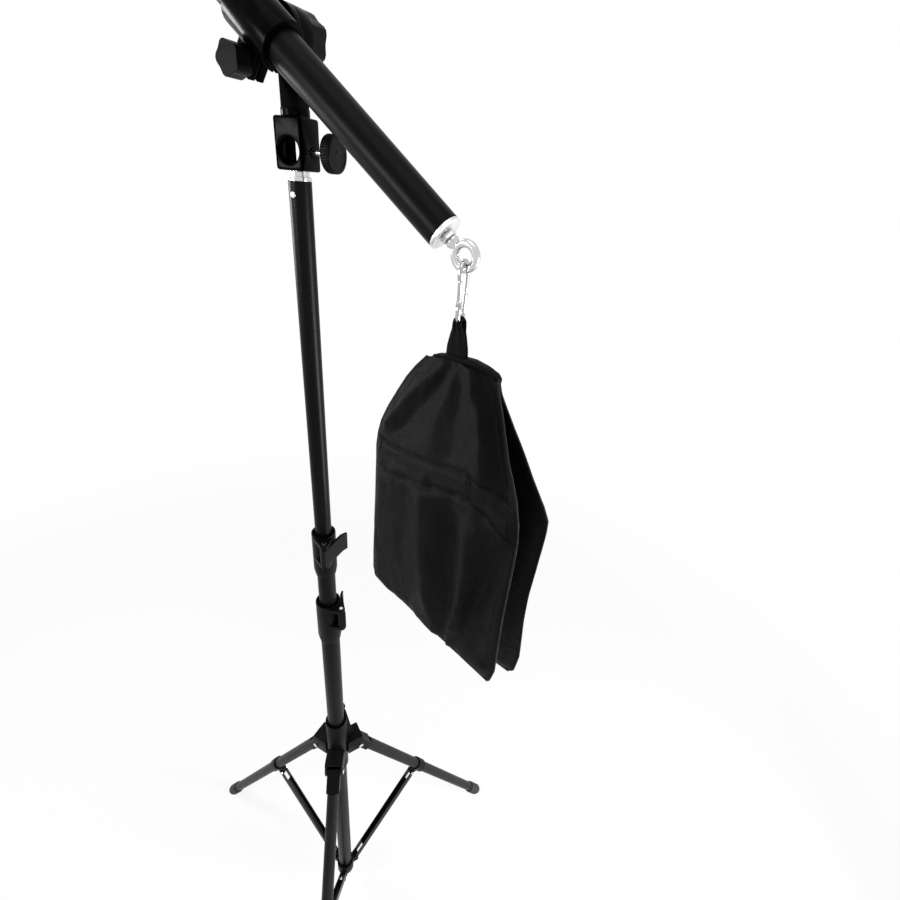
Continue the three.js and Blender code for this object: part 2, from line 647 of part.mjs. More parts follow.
// Head: bright collar and stud on the top tube, and the clamp block with its knob
function head() {
  const ringFoot = topTubeTop + seatGap;
  const neckFoot = ringFoot + ringHeight;
  const neckTop = neckFoot + neckHeight;
  const plugRadius = topTubeRadius - tubeWall - seatGap;
  place('top_collar', turned([
    [0, topTubeTop - spigotPlug], [plugRadius, topTubeTop - spigotPlug], [plugRadius, ringFoot],
    [topTubeRadius, ringFoot], [topTubeRadius, neckFoot], [neckRadius, neckFoot], [neckRadius, neckTop],
    [studRadius, neckTop], [studRadius, blockBottom + studReach], [0, blockBottom + studReach],
  ]), brightSteel);

  const rivetFrame = group(model, { z: topTubeTop - mastRivetDrop, turn: mastRivetTurn });
  const rivet = turned([
    [0, topTubeRadius + seatGap], [mastRivetRadius, topTubeRadius + seatGap],
    [mastRivetRadius * 0.7, topTubeRadius + seatGap + mastRivetRise],
    [0, topTubeRadius + seatGap + mastRivetRise],
  ], smallPointCount);
  place('tube_rivet', alongX(rivet), brightSteel, rivetFrame);

  const frame = group(model, { z: blockBottom, turn: blockTurn });
  const half = blockSide / 2;
  const square = polygon([
    [-half + blockBevel, -half], [half - blockBevel, -half], [half, -half + blockBevel],
    [half, half - blockBevel],
    [half - blockBevel, half], [-half + blockBevel, half], [-half, half - blockBevel],
    [-half, -half + blockBevel],
  ]);
  const block = sheet(square, 0, blockHeight);
  const hole = alongY(rod(holeRadius, -half - cutOver, half + cutOver, finePointCount)).translate(0, 0,
    holeHeight);
  const relief = slab(-half - cutOver, -half + reliefWidth, half - reliefDepth, half + cutOver,
    holeHeight - holeRadius, holeHeight + holeRadius);
  const stud = rod(studRadius + seatGap, -cutOver, studReach + seatGap);
  const thread = alongX(rod(headScrewRadius + seatGap, 0, half + cutOver)).translate(0, 0, holeHeight);
  const swivelBore = rod(studRadius + runGap, blockHeight - studReach, blockHeight + cutOver);
  place('head_block', cut(block, hole, relief, stud, thread, swivelBore), castBlack, frame);

  const knobFoot = half + headScrewShow;
  const screw = rod(headScrewRadius, half - headScrewIn, knobFoot + headKnobSeat);
  const knobFrame = group(frame, { z: holeHeight });
  place('head_screw', alongX(screw), brightSteel, knobFrame);
  const knobBody = turned([
    [0, knobFoot], [headKnobHub, knobFoot], [headKnobRadius - headKnobBevel, knobFoot + headKnobBack],
    [headKnobRadius, knobFoot + headKnobBack + headKnobBevel],
    [headKnobRadius, knobFoot + headKnobLength - headKnobBevel],
    [headKnobRadius - headKnobBevel, knobFoot + headKnobLength], [0, knobFoot + headKnobLength],
  ]);
  const socket = rod(headScrewRadius + seatGap, knobFoot - cutOver, knobFoot + headKnobSeat + seatGap);
  place('head_knob', alongX(cut(knobBody, socket)), mouldedBlack, knobFrame);
}

// Swivel and tilt: an upright cheek that turns on the block, and the clamp that holds the boom
function tiltBracket() {
  const foot = blockBottom + blockHeight + runGap;
  const rise = tiltAxisHeight - foot;
  const frame = group(model, { z: foot });
  const base = rod(swivelRadius, 0, swivelHeight, finePointCount);
  const upright = slab(-cheekNeckHalf, cheekNeckHalf, -cheekHalf, cheekHalf, swivelHeight - joinIn, rise);
  const disc = alongY(rod(cheekRadius, -cheekHalf, cheekHalf, finePointCount)).translate(0, 0, rise);
  const stem = rod(studRadius, -studReach + runGap + seatGap, joinIn);
  const bore = alongY(rod(tiltBoltRadius + runGap, -cheekHalf - cutOver, cheekHalf + cutOver));
  place('tilt_bracket', cut(join(base, upright, disc, stem), bore.translate(0, 0, rise)), castBlack, frame);
}

function boom() {
  const axis = group(model, { z: tiltAxisHeight });
  const seatFace = -cheekHalf - runGap;
  const knobFace = cheekHalf + runGap;
  const tilt = group(axis, { pitch: boomTilt });

  const boltStart = seatFace - tiltBoltSeat + seatGap;
  const bolt = rod(tiltBoltRadius, boltStart, knobFace + tiltBoltHead);
  place('tilt_bolt', alongY(bolt), brightSteel, tilt);
  const knob = lobedKnob(tiltKnobRadius, knobFace, knobFace + tiltKnobLength, tiltKnobLobes, tiltKnobDip);
  const socket = rod(tiltBoltRadius + runGap, knobFace - cutOver, knobFace + tiltBoltHead + runGap);
  place('tilt_knob', alongY(cut(knob, socket)), mouldedBlack, tilt);

  const arm = group(tilt, { y: -boomSide });
  const bore = boomRadius + runGap;
  const outer = bore + clampWall;
  const half = clampLength / 2;
  const ring = alongX(pipe(outer, bore, -half, half));
  const bossFace = boomSide + seatFace;
  const boss = alongY(rod(cheekRadius, bore, bossFace, finePointCount));
  const earTop = -bore;
  const ears = slab(-clampEarWidth / 2, clampEarWidth / 2, -clampEarHalf, clampEarHalf,
    earTop - clampEarDrop, earTop);
  const space = alongX(rod(bore, -half - cutOver, half + cutOver, finePointCount));
  const slit = slab(-half - cutOver, half + cutOver, -clampSlit / 2, clampSlit / 2,
    earTop - clampEarDrop - cutOver, 0);
  const boltSeat = alongY(rod(tiltBoltRadius + seatGap, bossFace - tiltBoltSeat, bossFace + cutOver));
  const screwHeight = earTop - clampWall - clampEarDrop / 2;
  const screwBore = alongY(rod(clampScrewRadius + runGap, -clampEarHalf - cutOver, clampEarHalf + cutOver));
  screwBore.translate(0, 0, screwHeight);
  place('boom_clamp', cut(join(ring, boss, ears), space, slit, boltSeat, screwBore), castBlack, arm);

  const screwFrame = group(arm, { z: screwHeight });
  const knobStart = -clampEarHalf - runGap;
  const screw = rod(clampScrewRadius, knobStart - joinIn, clampEarHalf + clampScrewEnd);
  const wing = lobedKnob(clampKnobRadius, knobStart - clampKnobLength, knobStart, clampKnobLobes,
    clampKnobDip);
  place('clamp_knob', alongY(join(screw, wing)), mouldedBlack, screwFrame);

  place('boom_rear_tube', alongX(pipe(boomRadius, boomRadius - boomWall, -boomFront, boomRear)),
    boomBlack, arm);
  boomEnd(arm);
  boomFrontEnd(arm);
}

function boomEnd(arm) {
  const face = boomRear + seatGap + capFlange;
  const plugRadius = boomRadius - boomWall - seatGap;
  const cap = turned([
    [0, boomRear - capPlug], [plugRadius, boomRear - capPlug], [plugRadius, boomRear + seatGap],
    [boomRadius, boomRear + seatGap], [boomRadius, face], [0, face],
  ]);
  const thread = rod(eyeShankRadius + seatGap, boomRear - capPlug - cutOver, face + cutOver);
  place('boom_end_cap', alongX(cut(cap, thread)), capAlloy, arm);

  const ringAt = face + eyeOut;
  const shank = rod(eyeShankRadius, face - eyeShankIn, ringAt - eyeRadius);
  const nut = turned([[0, face + seatGap], [eyeNutRadius, face + seatGap],
    [eyeNutRadius, face + seatGap + eyeShoulder],
    [0, face + seatGap + eyeShoulder]], 6);
  const shoulderTop = ringAt - eyeRadius - eyeWire / 2;
  const shoulder = turned([[0, shoulderTop - eyeShoulder],
    [eyeShoulderRadius - eyeShoulderBevel, shoulderTop - eyeShoulder],
    [eyeShoulderRadius, shoulderTop - eyeShoulder / 2], [eyeShoulderRadius, shoulderTop],
    [0, shoulderTop + eyeWire]],
  smallPointCount);
  const ring = new THREE.TorusGeometry(eyeRadius, eyeWire, 12, finePointCount).rotateY(Math.PI / 2);
  const eye = join(shank, nut, shoulder, ring.rotateZ(Math.PI / 2).translate(0, 0, ringAt));
  place('eye_bolt', alongX(eye), brightSteel, arm);
}

function boomFrontEnd(arm) {
  // a flip lock of the mast's kind grips the front tube; its collar faces forwards
  const lock = group(arm, { x: -boomFront + upperLockHeight - lockTopOver, pitch: -90 });
  flipLock('boom_lock', lock, boomRadius, frontTubeRadius, upperLockHeight);

  const tip = -boomFront - frontTubeOut;
  const tube = pipe(frontTubeRadius, frontTubeRadius - tubeWall, tip, tip + frontTubeLength);
  place('boom_front_tube', alongX(tube), tubeBlack, arm);

  const plugRadius = frontTubeRadius - tubeWall - seatGap;
  const face = tip - seatGap;
  const end = face - spigotFlange - spigotLength;
  const neckTo = face - spigotFlange - spigotNeckStart;
  const neckFrom = neckTo - spigotNeckLength;
  place('front_spigot', alongX(turned([
    [0, end], [spigotRadius - spigotBevel, end], [spigotRadius, end + spigotBevel],
    [spigotRadius, neckFrom - spigotNeckSlope], [spigotNeckRadius, neckFrom], [spigotNeckRadius, neckTo],
    [spigotRadius, neckTo + spigotNeckSlope],
    [spigotRadius, face - spigotFlange], [frontTubeRadius, face - spigotFlange], [frontTubeRadius, face],
    [plugRadius, face], [plugRadius, tip + spigotPlug], [0, tip + spigotPlug],
  ])), brightSteel, arm);
}

// Hanging pieces: carabiner, loop and bag hang plumb under the eye
function hangPoint() {
  const along = boomRear + seatGap + capFlange + eyeOut;
  const tilt = rad(boomTilt);
  return new THREE.Vector3(along * Math.cos(tilt), -boomSide, tiltAxisHeight - along * Math.sin(tilt));
}

function carabiner(topWire) {
  const frame = group(model, { x: topWire.x, y: topWire.y, z: topWire.z, turn: carabinerTurn });
  // drawn in the XZ plane of its own frame, with the spine on the +X side
  const topCentre = -carabinerTopBend;
  const lowCentre = topCentre - carabinerDrop + carabinerTopBend + carabinerLowBend;
  const onTop = (degrees) => new THREE.Vector3(
    carabinerTopBend * Math.cos(rad(degrees)), 0, topCentre + carabinerTopBend * Math.sin(rad(degrees)));
  const onLow = (degrees) => new THREE.Vector3(
    carabinerLowBend * Math.cos(rad(degrees)), 0, lowCentre + carabinerLowBend * Math.sin(rad(degrees)));
  const points = [];
  for (let angle = 180 + noseOpen; angle >= 0; angle -= 23) points.push(onTop(angle));
  points.push(onTop(-4).lerp(onLow(0), 0.35), onTop(-4).lerp(onLow(0), 0.7));
  for (let angle = -8; angle >= -172; angle -= 20.5) points.push(onLow(angle));
  points.push(new THREE.Vector3(-carabinerLowBend, 0, lowCentre + hingeLift - wireRadius - seatGap));
  const path = new THREE.CatmullRomCurve3(points, false, 'centripetal');
  const section = new THREE.Shape();
  section.absarc(0, 0, wireRadius, 0, 2 * Math.PI, false);
  const wire = new THREE.ExtrudeGeometry(section, { steps: 56, extrudePath: path, curveSegments: 5 });
  place('carabiner_hook', join(wire), brightSteel, frame);

  const nose = points[0];
  const hingeAt = new THREE.Vector3(-carabinerLowBend, 0, lowCentre + hingeLift);
  const toNose = nose.clone().sub(hingeAt);
  const length = toNose.length();
  const lean = Math.atan2(toNose.x, toNose.z);
  const gate = group(frame, { x: hingeAt.x, z: hingeAt.z, pitch: THREE.MathUtils.radToDeg(lean) });
  const bar = rod(gateRadius, 0, length - gateSeat);
  const eye = alongY(rod(wireRadius, -wireRadius, wireRadius));
  const pinBore = alongY(rod(gateRadius / 2 + runGap, -wireRadius - cutOver, wireRadius + cutOver));
  place('carabiner_gate', cut(join(bar, eye), pinBore), brightSteel, gate);
  place('gate_pin', alongY(rod(gateRadius / 2, -wireRadius - seatGap, wireRadius + seatGap)),
    brightSteel, gate);
}

function sandbag(lowWire) {
  const frame = group(model, { x: lowWire.x, y: lowWire.y, z: lowWire.z, turn: bagTurn });
  const top = wireRadius + loopEyeRadius + seatGap;
  const foot = -loopLength;
  const loopShape = polygon([
    [-loopTopWidth / 2, top - loopBevel], [-loopTopWidth / 2 - loopFlare, -loopThroat],
    [-loopWidth / 2, foot * 0.55], [-loopWidth / 2, foot], [loopWidth / 2, foot],
    [loopWidth / 2, foot * 0.5],
    [loopTopWidth / 2 + loopFlare, -loopThroat], [loopTopWidth / 2, top - loopBevel],
    [loopTopWidth / 4, top], [-loopTopWidth / 4, top],
  ]);
  const eye = alongY(rod(loopEyeRadius, -2 * loopThick, 2 * loopThick, finePointCount));
  eye.rotateZ(rad(carabinerTurn - bagTurn - 90)).translate(0, 0, -loopEyeDrop);
  place('webbing_loop', cut(standing(sheet(loopShape, -loopThick / 2, loopThick / 2)), eye), nylonBlack,
    frame);

  const bandTop = foot - seatGap;
  const bandFoot = bandTop - bandHeight;
  const bandShape = polygon([
    [-bandLeft, bandFoot - bandDroop], [-bandLeft, bandTop - bandDroop], [-loopWidth / 4, bandTop],
    [loopWidth, bandTop], [bandRight, bandTop - bandDroop], [bandRight, bandFoot - bandDroop],
    [loopWidth, bandFoot], [-loopWidth / 4, bandFoot],
  ]);
  place('bag_band', standing(sheet(bandShape, -bandThick / 2, bandThick / 2)), nylonBlack, frame);

  const pouchTop = bandFoot - bandDroop - 1.5 * seatGap;
  const outline = (height) => pouchOutlineShares.map(([across, down]) => [across * pouchHalf,
    -down * height]);
  const edge = pouchPuff * 2.2;
  const options = {
    depth: pouchCore, bevelEnabled: true, bevelThickness: pouchPuff, bevelSize: edge, bevelOffset: -edge,
    bevelSegments: 3, curveSegments: 1,
  };
  const pouch = (height) => {
    const puffed = new THREE.ExtrudeGeometry(polygon(outline(height)), options);
    return standing(puffed.translate(0, 0, -pouchCore / 2));
  };
  const front = group(frame, { y: -pouchSpread, z: pouchTop, turn: -pouchFan, lean: -pouchLean });
  const rear = group(frame, { x: rearShift, y: pouchSpread, z: pouchTop, turn: pouchFan, lean: pouchLean });
  place('front_pouch', pouch(frontPouchHeight), nylonBlack, front);
  place('rear_pouch', pouch(rearPouchHeight), nylonBlack, rear);
}

mast();
legHub();
for (let i = 0; i < 3; i += 1) leg(i);
braceHub();
head();
tiltBracket();
boom();
const ringCentre = hangPoint();
const topWire = ringCentre.clone();
topWire.z -= eyeRadius - eyeWire - wireRadius - seatGap;
carabiner(topWire);
const lowWire = topWire.clone();
lowWire.z -= carabinerDrop;
sandbag(lowWire);

// the row's origin: middle of the footprint's box, on the floor
model.updateMatrixWorld(true);
const box = new THREE.Box3().setFromObject(model, true);
const middle = box.getCenter(new THREE.Vector3());
const part = new THREE.Group();
model.position.set(-middle.x, -middle.y, -box.min.z);
part.add(model);

export default part;
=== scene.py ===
# %% [markdown]
# # An overhead boom arm, dressed for its photograph
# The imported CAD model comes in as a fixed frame: every tube, lock and knob already stands where it
# should, on the body it moves with. This notebook sets the camera, gives each CAD piece a finish,
# and makes by hand what CAD can't do well: the cloth bag, its strap and stitches, and the small
# bright hardware that the light plays on. Blender works in metres, so sizes in millimetres are
# multiplied by MM.

# %% Load the frame
import math

import bpy
from mathutils import Matrix, Vector, noise
from mathutils.bvhtree import BVHTree


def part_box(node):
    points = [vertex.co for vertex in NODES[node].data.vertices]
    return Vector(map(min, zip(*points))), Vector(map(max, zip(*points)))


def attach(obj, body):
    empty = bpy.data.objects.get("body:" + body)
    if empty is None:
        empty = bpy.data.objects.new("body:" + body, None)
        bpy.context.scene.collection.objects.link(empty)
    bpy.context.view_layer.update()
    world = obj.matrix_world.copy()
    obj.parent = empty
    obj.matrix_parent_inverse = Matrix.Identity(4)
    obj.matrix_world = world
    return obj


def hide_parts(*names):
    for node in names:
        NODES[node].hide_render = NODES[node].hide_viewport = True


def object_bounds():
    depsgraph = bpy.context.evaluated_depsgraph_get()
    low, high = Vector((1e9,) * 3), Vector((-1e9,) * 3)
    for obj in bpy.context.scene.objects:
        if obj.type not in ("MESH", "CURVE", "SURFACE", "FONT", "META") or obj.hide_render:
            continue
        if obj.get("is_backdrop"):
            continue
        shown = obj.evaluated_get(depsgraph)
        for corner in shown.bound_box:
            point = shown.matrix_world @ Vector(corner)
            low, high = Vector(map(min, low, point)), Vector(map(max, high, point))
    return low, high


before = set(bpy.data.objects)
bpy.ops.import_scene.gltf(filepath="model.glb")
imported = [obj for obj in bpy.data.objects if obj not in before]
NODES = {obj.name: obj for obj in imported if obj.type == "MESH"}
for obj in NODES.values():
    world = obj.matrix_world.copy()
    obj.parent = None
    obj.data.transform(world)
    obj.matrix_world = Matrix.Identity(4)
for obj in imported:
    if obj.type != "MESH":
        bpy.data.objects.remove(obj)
cad_box = [list(corner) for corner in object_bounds()]
MM = 0.001
print(len(NODES), "CAD nodes in the frame")

# %% [markdown]
# ## A common place to measure from
# The photograph was solved with the mast's axis as its zero line, so heights here are measured from
# a point on that axis, 1284.9 mm above the floor. The axis itself comes from the frame, since a
# change to the bag can shift the whole model sideways.

# %% Points measured from the mast
low_tube_corner, high_tube_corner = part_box("lower_tube")
MAST = (low_tube_corner + high_tube_corner) / 2
MEASURED_FROM = 1284.9


def from_mast(x, y, height):
    """The point x and y millimetres beside the mast's axis, at a measured height."""
    return Vector((MAST.x + x * MM, MAST.y + y * MM, (MEASURED_FROM + height) * MM))


print("mast axis at", tuple(round(value, 4) for value in MAST.xy))

# %% [markdown]
# ## Camera
# The photograph was taken from close by with a wide lens, looking down past the boom. The lens and
# the place were found by fitting the straight tubes and the square block, so they are plain
# numbers. The turns are read from right to left: roll, then tilt up from straight down, then
# heading.

# %% Camera
CAMERA_AT = (317.62, -339.91, 23.68)
CAMERA_HEADING, CAMERA_TILT, CAMERA_ROLL = 25.4, 60.755, 5.006

camera_data = bpy.data.cameras.new("camera")
camera_data.sensor_width = 36.0
camera_data.lens = 19.2
camera_data.clip_start = 0.01
camera_data.clip_end = 60.0
camera = bpy.data.objects.new("camera", camera_data)
bpy.context.scene.collection.objects.link(camera)
camera_turn = (
    Matrix.Rotation(math.radians(CAMERA_HEADING), 4, "Z")
    @ Matrix.Rotation(math.radians(CAMERA_TILT), 4, "X")
    @ Matrix.Rotation(math.radians(CAMERA_ROLL), 4, "Z")
)
camera.matrix_world = Matrix.Translation(from_mast(*CAMERA_AT)) @ camera_turn
bpy.context.scene.camera = camera
bpy.context.scene.view_settings.view_transform = "Standard"
print("camera at", tuple(round(value, 3) for value in camera.matrix_world.translation))

# %% [markdown]
# ## Writing shaders as arithmetic
# A finish is a small machine of nodes. Wrapping a node's output in a class that knows plus, minus
# and times lets the shader read like the sum it is, and each operation adds one Math node. Every
# other node comes from one method, so that its settings and its inputs always look the same.


# %% Values and nodes
class Value:
    """An output of a node. Arithmetic on it adds Math nodes."""

    def __init__(self, finish, socket):
        self.finish = finish
        self.socket = socket

    def maths(self, operation, *values):
        return self.finish.node("ShaderNodeMath", {"operation": operation}, dict(enumerate(values)))

    def __add__(self, other):
        return self.maths("ADD", self, other)

    def __sub__(self, other):
        return self.maths("SUBTRACT", self, other)

    def __rsub__(self, other):
        return self.maths("SUBTRACT", other, self)

    def __mul__(self, other):
        return self.maths("MULTIPLY", self, other)

    def __abs__(self):
        return self.maths("ABSOLUTE", self)

    __radd__ = __add__
    __rmul__ = __mul__

    def sine(self):
        return self.maths("SINE", self)

    def rise(self, low, high):
        """0 below low, 1 above high, and smooth between."""
        sockets = {"Value": self, "From Min": low, "From Max": high}
        return self.finish.node("ShaderNodeMapRange", {"interpolation_type": "SMOOTHSTEP"}, sockets)


class Finish:
    """A material while it is being built."""

    def __init__(self, tree):
        self.tree = tree
        self.tree.nodes.clear()

    def node(self, kind, settings=None, sockets=None, output=0):
        made = self.tree.nodes.new(kind)
        for name, value in (settings or {}).items():
            setattr(made, name, value)
        for name, value in (sockets or {}).items():
            if isinstance(value, Value):
                self.tree.links.new(value.socket, made.inputs[name])
            else:
                made.inputs[name].default_value = value
        return Value(self, made.outputs[output]) if made.outputs else None


def place_of(finish):
    return finish.node("ShaderNodeTexCoord", output="Object")


def new_finish(name):
    """A new material, its finish, and the place on the piece that its patterns start from."""
    material = bpy.data.materials.new(name)
    material.use_nodes = True
    finish = Finish(material.node_tree)
    print("finish:", name)
    return material, finish, place_of(finish)


# %% [markdown]
# ## A few words that every finish uses
# Patterns are placed by object coordinates: the pieces' own metres, so that a grain of half a
# millimetre is half a millimetre everywhere and moves with its piece. The Bevel node rounds the
# hard corners of the CAD pieces for the light alone, as paint and moulding do on real ones.


# %% Patterns and tones
def grain(finish, vector, size, detail, roughness=0.5):
    """Cloudy noise whose blobs are about size millimetres across."""
    sockets = {"Vector": vector, "Scale": 1 / (size * MM), "Detail": detail, "Roughness": roughness}
    return finish.node("ShaderNodeTexNoise", None, sockets)


def reach_along(finish, vector, direction):
    """How far a place lies along a direction, in metres."""
    sockets = {0: vector, 1: tuple(Vector(direction).normalized())}
    return finish.node("ShaderNodeVectorMath", {"operation": "DOT_PRODUCT"}, sockets, "Value")


def drawn_along(finish, vector, direction, stretch=0.04):
    """Coordinates squeezed along a direction, so that noise becomes long streaks."""
    far = reach_along(finish, vector, direction) * (stretch - 1)
    sockets = {0: tuple(Vector(direction).normalized()), "Scale": far}
    moved = finish.node("ShaderNodeVectorMath", {"operation": "SCALE"}, sockets)
    return finish.node("ShaderNodeVectorMath", {"operation": "ADD"}, {0: vector, 1: moved})


def tinted(grey, *shares):
    """A colour whose red, green and blue are shares of one grey."""
    return tuple(grey * share for share in shares)


def tone(finish, share, dark, light):
    """A grey or a colour between two. 6, 7 and output 2 are the Mix node's colour sockets."""
    pair = [(value, value, value) if isinstance(value, float) else value for value in (dark, light)]
    sockets = {0: share, 6: (*pair[0], 1.0), 7: (*pair[1], 1.0)}
    return finish.node("ShaderNodeMix", {"data_type": "RGBA"}, sockets, 2)


def rounded(finish, radius):
    return finish.node("ShaderNodeBevel", {"samples": 6}, {"Radius": radius * MM})


def edge_wear(finish, soft_normal):
    """Towards 1 where the surface turns a sharp corner."""
    hard = finish.node("ShaderNodeNewGeometry", output="Normal")
    sockets = {0: soft_normal, 1: hard}
    same = finish.node("ShaderNodeVectorMath", {"operation": "DOT_PRODUCT"}, sockets, "Value")
    return (1 - same).rise(0.02, 0.25)


def relief(finish, height, depth, strength, under=None):
    """A normal from the surface pushed out by height times depth millimetres."""
    sockets = {"Height": height, "Distance": depth * MM, "Strength": strength}
    if under is not None:
        sockets["Normal"] = under
    return finish.node("ShaderNodeBump", None, sockets)


def surface(finish, color, roughness, normal, **constants):
    """Closes the material with one Principled shader."""
    sockets = {"Base Color": color, "Roughness": roughness, "Normal": normal}
    sockets.update({name.replace("_", " "): value for name, value in constants.items()})
    shader = finish.node("ShaderNodeBsdfPrincipled", None, sockets)
    finish.node("ShaderNodeOutputMaterial", None, {"Surface": shader})


# %% [markdown]
# ## Black tubes
# The mast, the legs and the boom are thin aluminium tube, drawn and then finished satin black. What
# the eye reads is the highlight down each side, so the finish is mostly about roughness: long faint
# streaks from drawing, a fine grain, and patches rubbed smoother by the tubes that slide through.


# %% Tube finish
def black_tube(name, direction, base=0.0025, roughness=0.34):
    material, finish, place = new_finish(name)
    streaks = grain(finish, drawn_along(finish, place, direction), 0.9, 3.0)
    fine = grain(finish, place, 0.35, 2.0)
    patches = grain(finish, drawn_along(finish, place, direction, 0.3), 34.0, 6.0, 0.62)
    rubbed = patches.rise(0.48, 0.72)
    dark, light = tinted(base, 1, 1, 1.03), tinted(base, 2.1, 2.1, 2.2)
    color = tone(finish, streaks * 0.35 + rubbed * 0.45, dark, light)
    rough = streaks * 0.09 - rubbed * 0.07 + (roughness - 0.03)
    normal = relief(finish, streaks * 0.5 + fine * 0.5, 0.008, 0.6, rounded(finish, 0.35))
    surface(finish, color, rough, normal, Specular_IOR_Level=0.06)
    return material


UP = (0.0, 0.0, 1.0)
BOOM_TILT = math.radians(37.2)
DOWN_BOOM = Vector((math.cos(BOOM_TILT), 0.0, -math.sin(BOOM_TILT)))
mast_black = black_tube("mast_black", UP)
leg_black = black_tube("leg_black", UP, 0.009, 0.38)
boom_black = black_tube("boom_black", DOWN_BOOM, 0.002, 0.34)

# %% [markdown]
# ## Moulded and cast black
# Locks, clamps and knobs are moulded plastic with a spark-eroded grain; the head is cast metal
# under thick paint, whose orange peel is coarser and whose corners have worn towards bare metal.
# Both get their corners rounded for the light.


# %% Plastic and painted castings
def moulded_plastic(name, base=0.002, roughness=0.40):
    material, finish, place = new_finish(name)
    pores = finish.node("ShaderNodeTexVoronoi", None, {"Vector": place, "Scale": 2200.0})
    handled = grain(finish, place, 15.0, 5.0, 0.6).rise(0.42, 0.70)
    soft = rounded(finish, 0.5)
    wear = edge_wear(finish, soft)
    dark, light = tinted(base, 1, 1, 1.03), tinted(base, 2.6, 2.6, 2.7)
    color = tone(finish, handled * 0.4 + wear * 0.5, dark, light)
    rough = handled * -0.12 + pores * 0.08 + roughness
    surface(finish, color, rough, relief(finish, pores, 0.03, 0.6, soft), Specular_IOR_Level=0.06)
    return material


def painted_casting(name, base=0.001):
    material, finish, place = new_finish(name)
    peel = grain(finish, place, 1.1, 2.0)
    dust = grain(finish, place, 12.0, 5.0, 0.6).rise(0.45, 0.75)
    soft = rounded(finish, 0.7)
    chipped = edge_wear(finish, soft) * grain(finish, place, 1.6, 4.0, 0.7).rise(0.50, 0.62)
    color = tone(finish, chipped * 0.06 + dust * 0.008, base, (0.20, 0.20, 0.205))
    rough = peel * 0.06 + dust * 0.06 + 0.17
    surface(finish, color, rough, relief(finish, peel, 0.04, 0.6, soft), Specular_IOR_Level=0.025)
    return material


plain_plastic = moulded_plastic("moulded_plastic")
lever_plastic = moulded_plastic("lever_plastic", 0.003, 0.34)
head_paint = painted_casting("head_paint")

# %% [markdown]
# ## Bright metal and rubber
# Plated steel is nearly a mirror, softened by polishing marks. The turned alloy keeps the rings of
# its cutting tool, which show as a satin sheen. Rubber is dull, with dust in its pores.


# %% Steel, alloy and rubber
def plated_steel(name, base=0.62, roughness=0.14):
    material, finish, place = new_finish(name)
    marks = grain(finish, drawn_along(finish, place, (0.3, 1.0, 0.5), 0.15), 0.6, 2.0)
    dull = grain(finish, place, 4.0, 4.0, 0.6).rise(0.45, 0.75)
    color = tone(finish, dull * 0.6, tinted(base, 1, 1, 1.01), tinted(base, 0.72, 0.72, 0.74))
    rough = dull * 0.14 + marks * 0.06 + (roughness - 0.02)
    normal = relief(finish, marks, 0.006, 0.5, rounded(finish, 0.25))
    surface(finish, color, rough, normal, Metallic=1.0)
    return material


TOOL_FEED = 0.35


def turned_alloy(name, direction, base=0.78):
    material, finish, place = new_finish(name)
    rings = (reach_along(finish, place, direction) * (2 * math.pi / (TOOL_FEED * MM))).sine()
    speck = grain(finish, place, 0.3, 2.0)
    cloud = grain(finish, place, 8.0, 3.0)
    color = tone(finish, cloud * 0.6 + speck * 0.2, base, base * 0.78)
    rough = speck * 0.10 + rings * 0.04 + 0.30
    normal = relief(finish, rings * 0.5 + speck, 0.01, 0.5, rounded(finish, 0.3))
    surface(finish, color, rough, normal, Metallic=1.0)
    return material


def foot_rubber(name):
    material, finish, place = new_finish(name)
    dust = grain(finish, place, 11.0, 6.0, 0.65).rise(0.45, 0.78)
    pores = grain(finish, place, 0.7, 3.0)
    color = tone(finish, dust * 0.6, (0.006, 0.006, 0.006), (0.035, 0.034, 0.032))
    rough = dust * 0.15 + 0.70
    normal = relief(finish, pores, 0.06, 0.7, rounded(finish, 0.6))
    surface(finish, color, rough, normal)
    return material


steel = plated_steel("plated_steel")
# the hook and the gate get a darker copy of the plated steel: painted shade that stands in for the
# wire's darker reflections
hook_steel_painted_shade = plated_steel("hook_steel_painted_shade", 0.44, 0.12)
screw_steel = plated_steel("screw_steel", 0.80, 0.20)
cap_alloy = turned_alloy("cap_alloy", DOWN_BOOM)
rubber = foot_rubber("foot_rubber")

# %% [markdown]
# ## Cloth, webbing and thread
# The bag is coated nylon: a plain weave so fine that it only breaks up the highlight, under a
# slightly greasy shine. The weave runs along and across the bag, so it is placed by how far a point
# lies in those two directions. Webbing is heavier: ribs across it, and fuzz that catches light.

# %% Cloth finishes
BAG_TURN = math.radians(-16)
ACROSS = Vector((math.cos(BAG_TURN), math.sin(BAG_TURN), 0.0))
OFF = Vector((-math.sin(BAG_TURN), math.cos(BAG_TURN), 0.0))


def coated_nylon(name, base=0.0048, thread=1.2, roughness=0.42):
    material, finish, place = new_finish(name)
    turns = 2 * math.pi / (thread * MM)
    warp = (reach_along(finish, place, ACROSS) * turns).sine()
    weft = (reach_along(finish, place, UP) * turns).sine()
    crumple = grain(finish, place, 12.0, 6.0, 0.62)
    fine = grain(finish, place, 4.5, 3.0, 0.55)
    worn = grain(finish, place, 40.0, 5.0, 0.6).rise(0.40, 0.72)
    dark, light = tinted(base, 0.75, 0.75, 0.78), tinted(base, 1.7, 1.7, 1.75)
    color = tone(finish, crumple * 0.45 + worn * 0.35, dark, light)
    height = warp * weft * 0.10 + crumple + fine * 0.45
    rough = fine * 0.12 + warp * weft * 0.03 + (roughness - 0.06)
    surface(finish, color, rough, relief(finish, height, 1.3, 0.9), Specular_IOR_Level=0.04)
    return material


RIB_PITCH, CORD_PITCH = 0.9, 1.6


